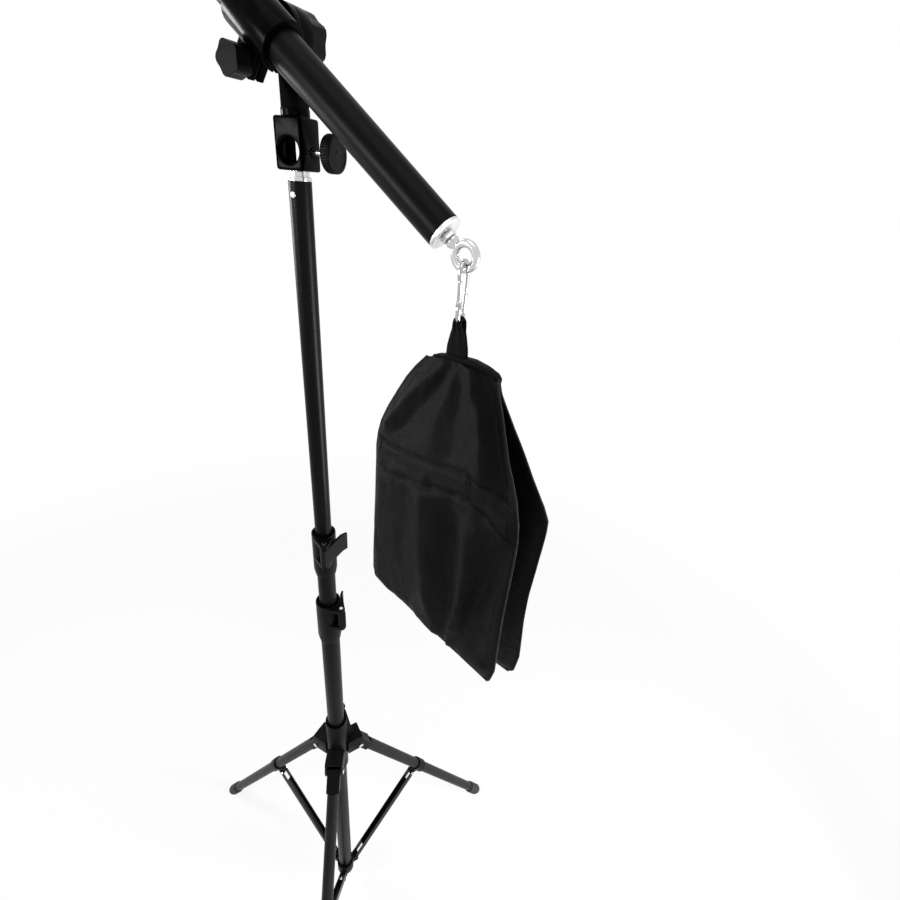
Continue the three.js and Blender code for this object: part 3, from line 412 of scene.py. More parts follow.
def ribbed_webbing(name, base=0.0024):
    material, finish, place = new_finish(name)
    ribs = abs((reach_along(finish, place, UP) * (math.pi / (RIB_PITCH * MM))).sine())
    cords = abs((reach_along(finish, place, ACROSS) * (math.pi / (CORD_PITCH * MM))).sine())
    fuzz = grain(finish, place, 0.7, 3.0)
    color = tone(finish, ribs * 0.4 + fuzz * 0.5, base * 0.6, base * 2.2)
    height = ribs * 0.6 + cords * 0.4 + fuzz * 0.5
    rough = fuzz * 0.1 + 0.58
    surface(finish, color, rough, relief(finish, height, 0.18, 0.8), Specular_IOR_Level=0.03)
    return material


def twisted_thread(name, base=0.0012):
    material, finish, place = new_finish(name)
    twist = grain(finish, place, 0.4, 2.0)
    color = tone(finish, twist, base * 0.6, base * 2.6)
    rough = twist * 0.1 + 0.45
    surface(finish, color, rough, relief(finish, twist, 0.05, 0.8), Specular_IOR_Level=0.04)
    return material


bag_nylon = coated_nylon("bag_nylon")
binding_nylon = coated_nylon("binding_nylon", 0.002, 0.7, 0.5)
# the piping's nylon is a lighter copy of the bag's: a painted highlight along the sewn edges
piping_nylon_painted_highlight = coated_nylon("piping_nylon_painted_highlight", 0.016, 0.7, 0.4)
strap_webbing = ribbed_webbing("strap_webbing")
black_thread = twisted_thread("black_thread")

# %% [markdown]
# ## Which finish goes where
# Fifty-nine pieces share ten finishes. Each could be given its own line of code, but a table is
# easier to read and to change: the first row whose word begins a node's name decides, and the empty
# word at the end takes every piece that is left.

# %% Finishes on the CAD pieces
FINISH_OF = (
    ("boom_rear_tube", boom_black), ("boom_front_tube", boom_black), ("boom_end_cap", cap_alloy),
    ("boom_clamp", head_paint), ("head_block", head_paint), ("tilt_bracket", head_paint),
    ("leg_tube", leg_black), ("leg_top", plain_plastic), ("leg_pin", steel),
    ("brace_hub", plain_plastic), ("brace_pin", steel), ("brace", leg_black), ("foot", rubber),
    ("head_screw", screw_steel), ("top_collar", steel), ("tube_rivet", steel), ("tilt_bolt", steel),
    ("eye_bolt", steel), ("front_spigot", steel), ("carabiner", steel), ("gate_pin", steel),
    ("lower_tube", mast_black), ("mid_tube", mast_black), ("top_tube", mast_black),
    ("lower_lock_lever", lever_plastic), ("upper_lock_lever", lever_plastic),
    ("boom_lock_lever", lever_plastic), ("lower_lock_pin", steel), ("upper_lock_pin", steel),
    ("boom_lock_pin", steel), ("", plain_plastic),
)

for node_name, node in NODES.items():
    finish = next(material for word, material in FINISH_OF if node_name.startswith(word))
    node.data.materials.clear()
    node.data.materials.append(finish)
print("finishes on", len(NODES), "CAD pieces")

# %% [markdown]
# ## Smooth sides and rounded corners
# The CAD meshes arrive as loose triangles with flat normals of their own, which would show every
# facet of a tube. Here those normals go, a Weld modifier joins the triangles, and an Edge Split
# modifier keeps the real corners sharp: those of more than 32 degrees. Castings and mouldings have
# no knife edges, and up close a rounded corner also changes the outline, so the biggest of them get
# a Bevel modifier in between. A Decimate modifier before it joins the triangles of each flat face,
# which would hold the bevel back. All of it stays in modifiers, so the CAD meshes keep their
# points.

# %% Smoothing the CAD pieces
SHARP_FROM = math.radians(32)
SAME_POINT = 0.01
FLAT_WITHIN = math.radians(1.0)
ROUNDING = {
    "head_block": 1.7, "boom_clamp": 0.5, "tilt_bracket": 0.8, "leg_hub": 0.5, "brace_hub": 0.5,
}
ROUNDED_FULLY = "head_block"


def round_corners(node, width, fully):
    """Rounds a piece's corners by a width in mm, held back at narrow faces unless fully."""
    flat_faces = node.modifiers.new("flat_faces", "DECIMATE")
    flat_faces.decimate_type = "DISSOLVE"
    flat_faces.angle_limit = FLAT_WITHIN
    bevel = node.modifiers.new("rounding", "BEVEL")
    bevel.width = width * MM
    bevel.segments = 3
    bevel.limit_method = "ANGLE"
    bevel.angle_limit = SHARP_FROM
    bevel.use_clamp_overlap = not fully


for node_name, node in NODES.items():
    node.data.polygons.foreach_set("use_smooth", [True] * len(node.data.polygons))
    for attribute_name in ("custom_normal", "sharp_edge"):
        attribute = node.data.attributes.get(attribute_name)
        if attribute:
            node.data.attributes.remove(attribute)
    node.modifiers.new("joined", "WELD").merge_threshold = SAME_POINT * MM
    if node_name in ROUNDING:
        round_corners(node, ROUNDING[node_name], node_name == ROUNDED_FULLY)
    node.modifiers.new("corners", "EDGE_SPLIT").split_angle = SHARP_FROM
print(len(ROUNDING), "pieces with rounded corners")

# %% [markdown]
# ## Making meshes from rings
# Nearly every handmade piece here is a loft: a row of closed rings joined by quads, like a barrel
# from its hoops. Curves with a bevel could make the wires too, but one method for all keeps the
# meshes closed and even. Lists of points and faces are gathered first, so that one piece can hold
# several lofts, and the mesh is made once.


# %% Lofts
def loft(rings, closed=False, zipped=False):
    """Points and faces of rings joined in order. zipped closes flat ends across their width."""
    size = len(rings[0])
    points = [point for ring in rings for point in ring]
    faces = []
    for i in range(len(rings) if closed else len(rings) - 1):
        low, high = i * size, (i + 1) % len(rings) * size
        for k in range(size):
            after = (k + 1) % size
            faces.append((low + k, low + after, high + after, high + k))
    if closed:
        return points, faces
    last = (len(rings) - 1) * size
    if zipped:
        for k in range(size // 2 - 1):
            faces.append((size - 1 - k, size - 2 - k, k + 1, k))
            faces.append((last + k, last + k + 1, last + size - 2 - k, last + size - 1 - k))
    else:
        faces.append(tuple(reversed(range(size))))
        faces.append(tuple(last + k for k in range(size)))
    return points, faces


def piece(name, solids, material, body, stands_for=(), sharp_from=SHARP_FROM):
    """One object from a list of (points, faces), riding on a body and standing for CAD nodes."""
    points, faces = [], []
    for solid_points, solid_faces in solids:
        start = len(points)
        points.extend(tuple(point) for point in solid_points)
        faces.extend(tuple(start + index for index in face) for face in solid_faces)
    mesh = bpy.data.meshes.new(name)
    mesh.from_pydata(points, [], faces)
    mesh.materials.append(material)
    mesh.polygons.foreach_set("use_smooth", [True] * len(mesh.polygons))
    mesh.set_sharp_from_angle(angle=sharp_from)
    made = bpy.data.objects.new(name, mesh)
    bpy.context.scene.collection.objects.link(made)
    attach(made, body)
    if stands_for:
        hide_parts(*stands_for)
    print(name, "on", body, "of", len(points), "points")
    return made


# %% [markdown]
# ## Bars and turned solids
# Wire and thread are a round section carried along a path, and knobs, caps and nuts are a profile
# spun round an axis, as on a lathe. The Screw modifier spins a profile as well, but it can't cut
# the teeth of a knurl on some rows and leave the others smooth.

# %% Round bars
# how much of the radius is left, and how far out, on the hoops that round a bar's end
ROUND_END = ((0.93, 0.25), (0.70, 0.58), (0.32, 0.82))


def round_bar(path, radius, sides, closed=False, round_ends=True):
    """A round bar along a path of points, its ends rounded over."""
    count = len(path)
    turns = [2 * math.pi * k / sides for k in range(sides)]
    rings = []
    upward = None
    for i, point in enumerate(path):
        before = path[(i - 1) % count] if closed else path[max(i - 1, 0)]
        after = path[(i + 1) % count] if closed else path[min(i + 1, count - 1)]
        along = (after - before).normalized()
        upward = along.orthogonal() if upward is None else upward - along * upward.dot(along)
        upward.normalize()
        sideways = along.cross(upward)
        around = [upward * math.cos(a) + sideways * math.sin(a) for a in turns]
        hoops = [(1.0, 0.0)]
        if round_ends and not closed and i in (0, count - 1):
            sign = -1 if i == 0 else 1
            hoops += [(share, push * sign) for share, push in ROUND_END]
        for share, push in reversed(hoops) if i == 0 else hoops:
            centre = point + along * (push * radius)
            rings.append([centre + out * (radius * share) for out in around])
    return loft(rings, closed)


# %% Turned solids
def turned_on(origin, direction, profile, sides, teeth=0, tooth=0.0, toothed=()):
    """A turned solid from (radius, height) rows in millimetres. toothed rows get a knurl."""
    axis = Vector(direction).normalized()
    first = axis.orthogonal().normalized()
    second = axis.cross(first)
    rings = []
    for row, (radius, height) in enumerate(profile):
        ring = []
        for k in range(sides):
            angle = 2 * math.pi * k / sides
            bite = tooth * 0.5 * (1 + math.cos(teeth * angle)) if row in toothed else 0.0
            out = first * math.cos(angle) + second * math.sin(angle)
            ring.append(origin + axis * (height * MM) + out * ((radius - bite) * MM))
        rings.append(ring)
    return loft(rings)


# %% Tables and steps
def between(table, at):
    """The value at a place in a table of (place, value) rows in rising order."""
    if at <= table[0][0]:
        return table[0][1]
    for (low, low_value), (high, high_value) in zip(table, table[1:]):
        if at <= high:
            return low_value + (high_value - low_value) * (at - low) / (high - low)
    return table[-1][1]


def smooth_step(low, high, at):
    share = min(max((at - low) / (high - low), 0.0), 1.0)
    return share * share * (3 - 2 * share)


# %% [markdown]
# ## End cap and eye bolt
# The boom's end is closed by a plain turned cap, and a plated eye bolt is screwed into it. The CAD
# pieces have the right sizes but coarse facets, which a mirror shows at once, so both are made
# again with many more. The cap is a profile spun round the boom's axis, with its heights measured
# along that axis from the tilt pivot; the eye is a bar bent into a circle.

# %% Boom end
BOOM_ASIDE = -25.0
TILT_AXIS = from_mast(0.0, BOOM_ASIDE, 106.2)
CAP_FACE = 189.9
RING_FROM_CAP = 19.6
EYE_RADIUS, EYE_WIRE, EYE_FACETS = 8.4, 3.0, 72
EYE_TURN = math.radians(6)

cap_profile = [
    (11.2, 169.2), (11.2, 186.8), (12.2, 186.9), (12.9, 187.3), (12.9, 189.2), (12.5, 189.7),
    (12.0, CAP_FACE), (5.6, CAP_FACE), (5.2, 189.5), (4.0, 189.5),
]
cap = turned_on(TILT_AXIS, DOWN_BOOM, cap_profile, 120)
piece("turned_end_cap", [cap], cap_alloy, "rear_boom", ["boom_end_cap"])

ring_centre = TILT_AXIS + DOWN_BOOM * ((CAP_FACE + RING_FROM_CAP) * MM)
across_boom = DOWN_BOOM.cross(Vector((0.0, 1.0, 0.0)))
ring_up = across_boom * math.cos(EYE_TURN) - Vector((0.0, math.sin(EYE_TURN), 0.0))
eye_angles = [2 * math.pi * k / EYE_FACETS for k in range(EYE_FACETS)]
eye_path = [
    ring_centre + (DOWN_BOOM * math.cos(a) + ring_up * math.sin(a)) * (EYE_RADIUS * MM)
    for a in eye_angles
]
eye_neck = [
    (3.0, 176.4), (3.0, 194.4), (4.4, 195.0), (5.0, 195.9), (5.0, 197.0), (4.5, 198.0),
    (3.4, 199.4), (3.0, 201.0), (2.6, 201.4),
]
nut_profile = [(4.9, 190.1), (5.6, 190.6), (5.6, 193.7), (4.9, 194.3)]
eye_solids = [
    round_bar(eye_path, EYE_WIRE * MM, 24, closed=True),
    turned_on(TILT_AXIS, DOWN_BOOM, eye_neck, 36),
    turned_on(TILT_AXIS, DOWN_BOOM, nut_profile, 6),
]
piece("plated_eye", eye_solids, steel, "rear_boom", ["eye_bolt"])

# %% [markdown]
# ## Carabiner
# One bent wire and a sprung gate. The wire's path is two arcs and two straights in a plane that is
# seen almost edge-on in the photograph, so its roundness matters more than its outline. A curve
# object with a round bevel would do as well; the same bar as for the eye needs nothing new.

# %% The carabiner's plane
HOOK_LENGTH = 40.6
WIRE_HEIGHT = -64.3
HANGS_ACROSS = 166.87
WIRE = 1.9
TOP_BEND, LOW_BEND = 7.6, 5.6
NOSE_ANGLE = 207
TOP_WIRE = from_mast(HANGS_ACROSS, BOOM_ASIDE, WIRE_HEIGHT) + Vector((0.0, 0.0, HOOK_LENGTH * MM))
hook_plane = math.radians(98)
HOOK_SIDE = Vector((math.cos(hook_plane), math.sin(hook_plane), 0.0))


def in_hook(side, height):
    """A point in the carabiner's plane: the spine is on the + side, heights from its top wire."""
    return TOP_WIRE + HOOK_SIDE * (side * MM) + Vector((0.0, 0.0, height * MM))


def hook_arc(radius, height, first, last, count):
    angles = [math.radians(first + (last - first) * k / count) for k in range(count + 1)]
    return [in_hook(radius * math.cos(a), height + radius * math.sin(a)) for a in angles]


# %% Hook and gate
LOW_CENTRE = -HOOK_LENGTH + LOW_BEND
GATE_WIRE, GATE_PIVOT, KNUCKLE = 1.5, 7.0, (-1.8, -1.5, 1.5, 1.8)
SPINE_STEPS = 8

spine = []
for k in range(1, SPINE_STEPS):
    side = TOP_BEND + (LOW_BEND - TOP_BEND) * k / SPINE_STEPS
    spine.append(in_hook(side, -TOP_BEND + (LOW_CENTRE + TOP_BEND) * k / SPINE_STEPS))
hook_path = hook_arc(TOP_BEND, -TOP_BEND, NOSE_ANGLE, 0, 44) + spine
hook_path += hook_arc(LOW_BEND, LOW_CENTRE, 0, -180, 36)
hook_path += [in_hook(-LOW_BEND, LOW_CENTRE + rise) for rise in (2.4, 4.4)]
hook = round_bar(hook_path, WIRE * MM, 20)
piece("hook_wire", [hook], hook_steel_painted_shade, "carabiner", ["carabiner_hook"])

nose = math.radians(NOSE_ANGLE)
gate_foot = in_hook(-LOW_BEND, LOW_CENTRE + GATE_PIVOT)
gate_head = in_hook(TOP_BEND * math.cos(nose), -TOP_BEND + TOP_BEND * math.sin(nose))
gate_along = gate_head - gate_foot
gate_bar = [gate_foot + gate_along * share for share in (0.0, 0.1, 0.3, 0.5, 0.7, 0.85, 0.94)]
knuckle = [gate_foot + HOOK_SIDE.cross(Vector(UP)) * (reach * MM) for reach in KNUCKLE]
gate_solids = [
    round_bar(gate_bar, GATE_WIRE * MM, 16), round_bar(knuckle, WIRE * MM, 20, round_ends=False),
]
piece("sprung_gate", gate_solids, hook_steel_painted_shade, "gate", ["carabiner_gate"])

# %% [markdown]
# ## Head knob
# The block is locked by a round moulded knob with a knurled rim, on a bright screw. Its teeth could
# be bump in a material, but they show on the outline, so it is one turned solid whose two rim rows
# carry the teeth.

# %% Head knob
RIM_FACETS, TEETH, TOOTH, RIM_ROWS = 300, 50, 0.4, (5, 6)
block_turn = math.radians(8)
KNOB_AXIS = Vector((math.cos(block_turn), math.sin(block_turn), 0.0))
BLOCK_MIDDLE = from_mast(0.0, 0.0, 34.2)
knob_profile = [
    (2.6, 26.0), (5.0, 26.0), (5.6, 26.6), (11.6, 27.4), (13.0, 28.2), (13.55, 29.1), (13.55, 35.4),
    (13.1, 36.4), (12.2, 36.95), (10.6, 36.95), (10.2, 36.5), (3.4, 36.5), (3.0, 36.9), (0.6, 36.9),
]
knob = turned_on(BLOCK_MIDDLE, KNOB_AXIS, knob_profile, RIM_FACETS, TEETH, TOOTH, RIM_ROWS)
piece("knurled_head_knob", [knob], plain_plastic, "head_knob", ["head_knob"])

# %% [markdown]
# ## Where the bag is
# The sandbag hangs plumb under the carabiner: two flat pouches joined at the top, turned 16 degrees
# from the boom. A point of it is given as across, off and height: across to the right as the camera
# sees it, off its middle plane away from the camera, and the measured height.


# %% Bag coordinates
def on_bag(across, off, height):
    at = from_mast(HANGS_ACROSS, BOOM_ASIDE, height)
    return at + ACROSS * (across * MM) + OFF * (off * MM)


# %% [markdown]
# ## Strap
# A loop of webbing runs over the carabiner's low wire and down into the bag's binding, its two legs
# lying on each other. It is bunched narrow over the wire and opens out flat below. A flat sheet
# that is bent by a simulation would find the same shape; a loft that goes up one leg, over the wire
# and down the other has it at once, and its widths can be read from a table.

# %% Webbing strap
STRAP_THICK = 1.5
STRAP_FOOT = -94.0
# (height, half of the width there)
STRAP_HALF = [(STRAP_FOOT, 10.3), (-84.0, 9.6), (-74.0, 7.2), (-68.0, 5.1), (WIRE_HEIGHT, 3.8)]
STRAP_CLEAR = 0.4
OVER_WIRE = WIRE + STRAP_CLEAR + STRAP_THICK / 2
LEGS_APART, LEGS_OPEN_AT = 0.9, -72.0
STRAP_HEADING, STRAP_TWIST = 164, 4
EDGE_DROOP = 1.6
PLEAT_HIGH, PLEAT_WAVES, FLAT_HALF = 0.5, 7.5, 11
STRAP_COLUMNS, LEG_ROWS, BEND_ROWS = 20, 22, 12


def strap_points(height, bunched):
    """Round the webbing at a height: a place, its offset across, outwards, face push and pleat."""
    heading = math.radians(STRAP_HEADING + STRAP_TWIST * bunched)
    wide = Vector((math.cos(heading), math.sin(heading), 0.0))
    out = Vector((math.sin(heading), -math.cos(heading), 0.0))
    half = between(STRAP_HALF, height)
    shares = [-1 + 2 * k / (STRAP_COLUMNS - 1) for k in range(STRAP_COLUMNS)]
    ring = [(along, 0.5) for along in shares] + [(along, -0.5) for along in reversed(shares)]
    points = []
    for along, face in ring:
        rise = -bunched * EDGE_DROOP * abs(along) ** 3
        pleat = PLEAT_HIGH * math.sin(along * PLEAT_WAVES) * (1 - half / FLAT_HALF)
        push = face * STRAP_THICK * (1 - 0.5 * abs(along) ** 6)
        points.append((on_bag(0.0, 0.0, height + rise), wide * (along * half), out, push, pleat))
    return points


def strap_leg(height, side):
    """One ring of a leg: side is 1 for the leg behind the wire and -1 for the one before it."""
    bunched = smooth_step(LEGS_OPEN_AT, WIRE_HEIGHT, height)
    stand = LEGS_APART + (OVER_WIRE - LEGS_APART) * bunched
    return [
        at + (across + out * (side * (stand + push + side * pleat))) * MM
        for at, across, out, push, pleat in strap_points(height, bunched)
    ]


def strap_bend(angle):
    """One ring of the half turn over the wire."""
    ring = []
    for at, across, out, push, _ in strap_points(WIRE_HEIGHT, 1.0):
        away = OVER_WIRE + push
        over = out * (away * math.cos(angle))
        ring.append(at + (across + over + Vector(UP) * (away * math.sin(angle))) * MM)
    return ring


heights = [STRAP_FOOT + (WIRE_HEIGHT - STRAP_FOOT) * k / LEG_ROWS for k in range(LEG_ROWS)]
strap_rings = [strap_leg(height, 1) for height in heights]
strap_rings += [strap_bend(math.pi * k / BEND_ROWS) for k in range(BEND_ROWS + 1)]
strap_rings += [strap_leg(height, -1) for height in reversed(heights)]
strap = loft(strap_rings, zipped=True)
STRAP_SHARP = math.radians(50)
piece(
    "webbing_strap", [strap], strap_webbing, "sandbag", ["webbing_loop"], STRAP_SHARP
)

# %% [markdown]
# ## Binding
# The tops of the two pouches are gathered into a folded strip, highest where the strap comes out
# and drooping at both ends. A box with a bevel would look moulded, so it is a loft again: the ring
# is a rounded oblong whose faces ripple a little, as cloth does when it is sewn through several
# layers.

# %% Top binding
# (across, height of its top)
BINDING_TOP = [
    (-23.0, -95.0), (-17.0, -93.2), (-8.0, -91.2), (3.0, -89.6), (18.0, -88.6), (30.0, -90.2),
    (38.0, -92.6), (42.5, -94.8),
]
BINDING_DEPTH = 5.2
BINDING_ENDS, END_LENGTH = (-23.5, 43.0), 4
BINDING_SHARP = math.radians(60)
BINDING_ROWS, BINDING_SIDES = 70, 28


def binding_ring(across):
    top = between(BINDING_TOP, across)
    end = min(1.0, (across - BINDING_ENDS[0]) / END_LENGTH, (BINDING_ENDS[1] - across) / END_LENGTH)
    half_thick = 1.8 + 2.2 * math.sqrt(max(end, 0.0))
    half_high = BINDING_DEPTH / 2 * (0.75 + 0.25 * end)
    ring = []
    for k in range(BINDING_SIDES):
        angle = 2 * math.pi * k / BINDING_SIDES
        x, y = math.cos(angle), math.sin(angle)
        corner = (abs(x) ** 5 + abs(y) ** 5) ** (-0.2)
        ripple = 0.35 * noise.noise(Vector((across * 0.35, y * 1.5, 3.0 if x > 0 else 9.0)))
        off = x * corner * (half_thick + ripple)
        ring.append(on_bag(across, off, top - BINDING_DEPTH / 2 + y * corner * half_high))
    return ring


binding_from, binding_to = BINDING_TOP[0][0], BINDING_TOP[-1][0]
binding = loft([
    binding_ring(binding_from + (binding_to - binding_from) * k / BINDING_ROWS)
    for k in range(BINDING_ROWS + 1)
])
piece(
    "top_binding", [binding], binding_nylon, "sandbag", ["bag_band"], BINDING_SHARP
)

# %% [markdown]
# ## Pouches
# Each pouch is a flat, empty cloth sack whose two layers stand open a little lower down. It could
# be sculpted from a box, but a loft of rings holds the measured outline exactly: every ring is one
# level of the sack, its front from left to right and its back from right to left. The outlines
# follow the real ones, and the two pouches open like a V to the right and downwards.

# %% Outlines and planes
# (height, across) up each side from the foot
FRONT_LEFT = [
    (-366, -79), (-363, -84), (-359, -89), (-336, -89), (-303, -87), (-270, -88), (-236, -91),
    (-206, -92), (-190, -89), (-176, -84), (-156, -73), (-139, -62), (-123, -51), (-110, -40),
    (-94, -24),
]
FRONT_RIGHT = [
    (-366, 86), (-364, 88), (-349, 91), (-302, 90), (-242, 88), (-209, 87), (-194, 85), (-176, 80),
    (-162, 74), (-147, 66), (-128, 57), (-109, 48), (-90, 41),
]
REAR_LEFT = [
    (-391, -78), (-385, -84), (-350, -87), (-303, -85), (-205, -86), (-181, -80), (-162, -72),
    (-143, -62), (-125, -49), (-105, -33), (-94, -23),
]
REAR_RIGHT = [
    (-391, 84), (-386, 89), (-363, 92), (-313, 91), (-279, 91), (-238, 93), (-209, 95), (-197, 95),
    (-186, 90), (-173, 82), (-150, 68), (-130, 55), (-108, 42), (-90, 37),
]
POUCH_TOP = -94.5
STARTS_OFF, OPENS_DOWN, OPENS_RIGHT = 3.4, 0.041, 0.055


def middle_of(facing, across, height):
    """How far the middle plane of a pouch is off the bag's: facing is -1 in front and 1 behind."""
    down = POUCH_TOP - height
    opening = OPENS_RIGHT * across * smooth_step(0.0, 60.0, down)
    return facing * (STARTS_OFF + OPENS_DOWN * down + opening)


places = sum(len(side) for side in (FRONT_LEFT, FRONT_RIGHT, REAR_LEFT, REAR_RIGHT))
print("outlines of", places, "places")

# %% [markdown]
# ## Folds
# The cloth isn't flat: pleats fan out from the gathered top, two sewn seams cross it, and below
# them broad folds run to the hem. A big fold is a facet between two creases, so each crease is a
# line with a height, and the cloth between two neighbouring creases slopes from one to the other.
# Small folds are lines with a height and a width on either side. Mild noise takes the drawn look
# off them. A cloth simulation would fold the bag too, but not where the photograph shows its folds.

# %% Creases and small folds
# (height, across) places down the crease, and how far it stands out in mm, from left to right
UPPER_CREASES = (
    ([(-190, -86), (-156, -74), (-123, -51), (-96, -24)], 0.0),
    ([(-178, -78), (-160, -64), (-140, -48), (-120, -29), (-97, -6)], 3.6),
    ([(-178, -58), (-160, -44), (-140, -28), (-120, -13), (-97, 0)], -3.4),
    ([(-175, -12), (-150, -6), (-120, 2), (-97, 6)], 3.0),
    ([(-172, 8), (-150, 12), (-120, 14), (-97, 11)], -2.0),
    ([(-182, 48), (-165, 49), (-141, 46), (-118, 37), (-95, 17)], 7.2),
    ([(-182, 70), (-150, 62), (-128, 53), (-100, 38)], -4.2),
    ([(-182, 84), (-150, 70), (-128, 60), (-95, 44)], -1.5),
)
LOWER_CREASES = (
    ([(-350, -88), (-210, -91)], 0.0),
    ([(-340, -52), (-260, -58), (-220, -62)], 1.2),
    ([(-346, -22), (-290, -34), (-220, -40)], -0.6),
    ([(-346, 18), (-311, 2), (-257, -7), (-221, -13)], 7.6),
    ([(-346, 32), (-310, 28), (-255, 23), (-207, 14)], -8.2),
    ([(-350, 37), (-325, 42), (-295, 48), (-255, 51), (-222, 47), (-200, 40)], 7.6),
    ([(-350, 46), (-330, 52), (-276, 62), (-241, 70), (-210, 84)], -6.6),
    ([(-350, 95), (-236, 91)], 0.4),
)
# points of the line, height in mm, width to its left and to its right, open at its first end
FOLDS = (
    ([(14, -96), (17, -112), (19, -132)], 1.5, 4, 4, True),
    ([(24, -97), (30, -118), (32, -142)], 1.3, 5, 4, True),
    ([(-4, -97), (-18, -116), (-34, -138)], 1.2, 4, 4, True),
    ([(-84, -190), (-70, -204), (-60, -220)], -2.2, 9, 9, False),
    ([(33, -166), (38, -174), (43, -186)], -2.0, 3.5, 3.5, False),
    ([(-12, -200), (-8, -206), (-6, -216)], -2.2, 5, 5, False),
    ([(16, -196), (20, -204), (22, -216)], -2.0, 4, 5, False),
    ([(48, -200), (56, -212), (70, -224)], -2.0, 5, 6, False),
    ([(76, -300), (68, -322), (60, -345)], -2.4, 10, 12, False),
    ([(60, -186), (70, -192), (80, -196)], -1.8, 4, 4, False),
    ([(-70, -228), (-66, -262), (-68, -300)], -1.2, 8, 10, False),
)
SEAMS = (
    [
        (-86, -191), (-72, -194), (-41, -191), (-10, -185), (14, -180), (34, -175), (55, -175),
        (79, -181),
    ],
    [(-89, -220), (-66, -221), (-16, -211), (12, -202), (38, -196), (62, -202), (86, -211)],
)
print(len(UPPER_CREASES + LOWER_CREASES), "creases,", len(FOLDS), "folds,", len(SEAMS), "seams")


# %% Heights of the cloth
# a seam is a groove between two low lips
SEAM_DEPTH, SEAM_WIDTH = 1.9, 2.0
LIP_HIGH, LIP_FROM_SEAM, LIP_WIDTH = 0.7, 6, 3.5
# the finest pleats fan out from a point above the gathered top and fade downwards
PLEAT_POLE, GATHERED_AT = (12.0, -66.0), -96
PLEAT_DEPTH, PLEAT_COUNT, PLEAT_FADE = 0.8, 17, 26


def nearest_on(line, across, height):
    """Distance to a line of points, signed + to its right, and the share of the line passed."""
    best = (1e9, 0.0)
    for index, ((x0, y0), (x1, y1)) in enumerate(zip(line, line[1:])):
        dx, dy = x1 - x0, y1 - y0
        share = ((across - x0) * dx + (height - y0) * dy) / (dx * dx + dy * dy)
        share = min(max(share, 0.0), 1.0)
        away_x, away_y = across - x0 - dx * share, height - y0 - dy * share
        distance = math.hypot(away_x, away_y)
        if distance < abs(best[0]):
            side = 1 if dx * away_y - dy * away_x > 0 else -1
            best = (distance * (side if distance > 0 else 1), (index + share) / (len(line) - 1))
    return best


def creased(creases, across, height):
    """The cloth's height between the two creases that a point lies between."""
    rows = [(between(line, height), high) for line, high in creases]
    for (left, left_high), (right, right_high) in zip(rows, rows[1:]):
        if across <= right:
            share = min(max((across - left) / (right - left), 0.0), 1.0)
            eased = (2 * share + smooth_step(0.0, 1.0, share)) / 3
            return left_high + (right_high - left_high) * eased
    return rows[-1][1]


def fold_height(across, height, seed):
    """How far the cloth stands out of its plane at a point, in millimetres."""
    above = smooth_step(-190, -168, height) * (1 - 0.5 * smooth_step(-112, -96, height))
    below = smooth_step(-204, -228, height) * (1 - 0.7 * smooth_step(-300, -356, height))
    wander = 4 * noise.noise(Vector((across / 60, height / 50, seed + 3)))
    total = creased(UPPER_CREASES, across + wander, height) * above
    total += creased(LOWER_CREASES, across + wander, height) * below
    for line, high, left, right, opened in FOLDS:
        distance, passed = nearest_on(line, across, height)
        width = right if distance > 0 else left
        if abs(distance) < 3 * width:
            start = 1.0 if opened else smooth_step(0.0, 0.25, passed)
            swell = high * math.exp(-(distance / width) ** 2)
            total += swell * start * (1 - smooth_step(0.72, 1.0, passed))
    for line in SEAMS:
        distance, _ = nearest_on(line, across, height)
        groove = SEAM_DEPTH * math.exp(-(distance / SEAM_WIDTH) ** 2)
        total -= groove - LIP_HIGH * math.exp(-((abs(distance) - LIP_FROM_SEAM) / LIP_WIDTH) ** 2)
    fan = math.atan2(across - PLEAT_POLE[0], PLEAT_POLE[1] - height)
    fading = math.exp((height - GATHERED_AT) / PLEAT_FADE)
    total += PLEAT_DEPTH * math.sin(fan * PLEAT_COUNT + seed) * fading
    # broad waves, dents and sharp little creases
    at = Vector((across / 30, height / 42, seed))
    sharp = 0.5 * (0.4 - abs(noise.noise(at * 5.3)))
    total += 1.3 * noise.noise(at) + 0.9 * noise.noise(at * 2.7) + sharp
    return total


# %% [markdown]
# ## The shell of a pouch
# Across a ring, the thickness rises quickly from the sewn edge and stays nearly level; down the
# pouch it grows, where the cloth stands open. The folds push out the layer that faces outwards, and
# little of them shows on the layer that faces the other pouch.

# %% Pouch rings
COLUMNS, ROWS = 72, 120
# (height, half of how far the two layers stand apart)
STANDS_OPEN = [
    (-392, 6.0), (-330, 7.0), (-280, 6.2), (-220, 4.6), (-170, 3.2), (-130, 2.2), (-96, 1.6),
]
CLOTH_HALF = 0.7
# how far the top edge and the hem droop at the left side and at the right one
LEFT_DROOPS, RIGHT_DROOPS = (3.5, 0.0), (2.5, 1.0)
CROWN, SAG, CROWDING = 5.0, 1.6, 0.06
EDGE_ROUND, FOOT_ROUND, FAR_FROM_FOOT = 22, 15, 99
EDGE_STIFF, FOOT_STIFF = 11.0, 9.0
EDGE_WAVE, EDGE_WAVE_LENGTH = 1.3, 23


def level_at(foot, droops, share):
    """The height of a ring where it meets one side of the pouch."""
    start = POUCH_TOP - droops[0]
    return start + (foot - droops[1] - start) * share


def rounded_off(away, reach, power):
    """0 at a sewn edge, rising quickly to 1 at a reach from it."""
    return 1 - (1 - min(away / reach, 1.0)) ** power


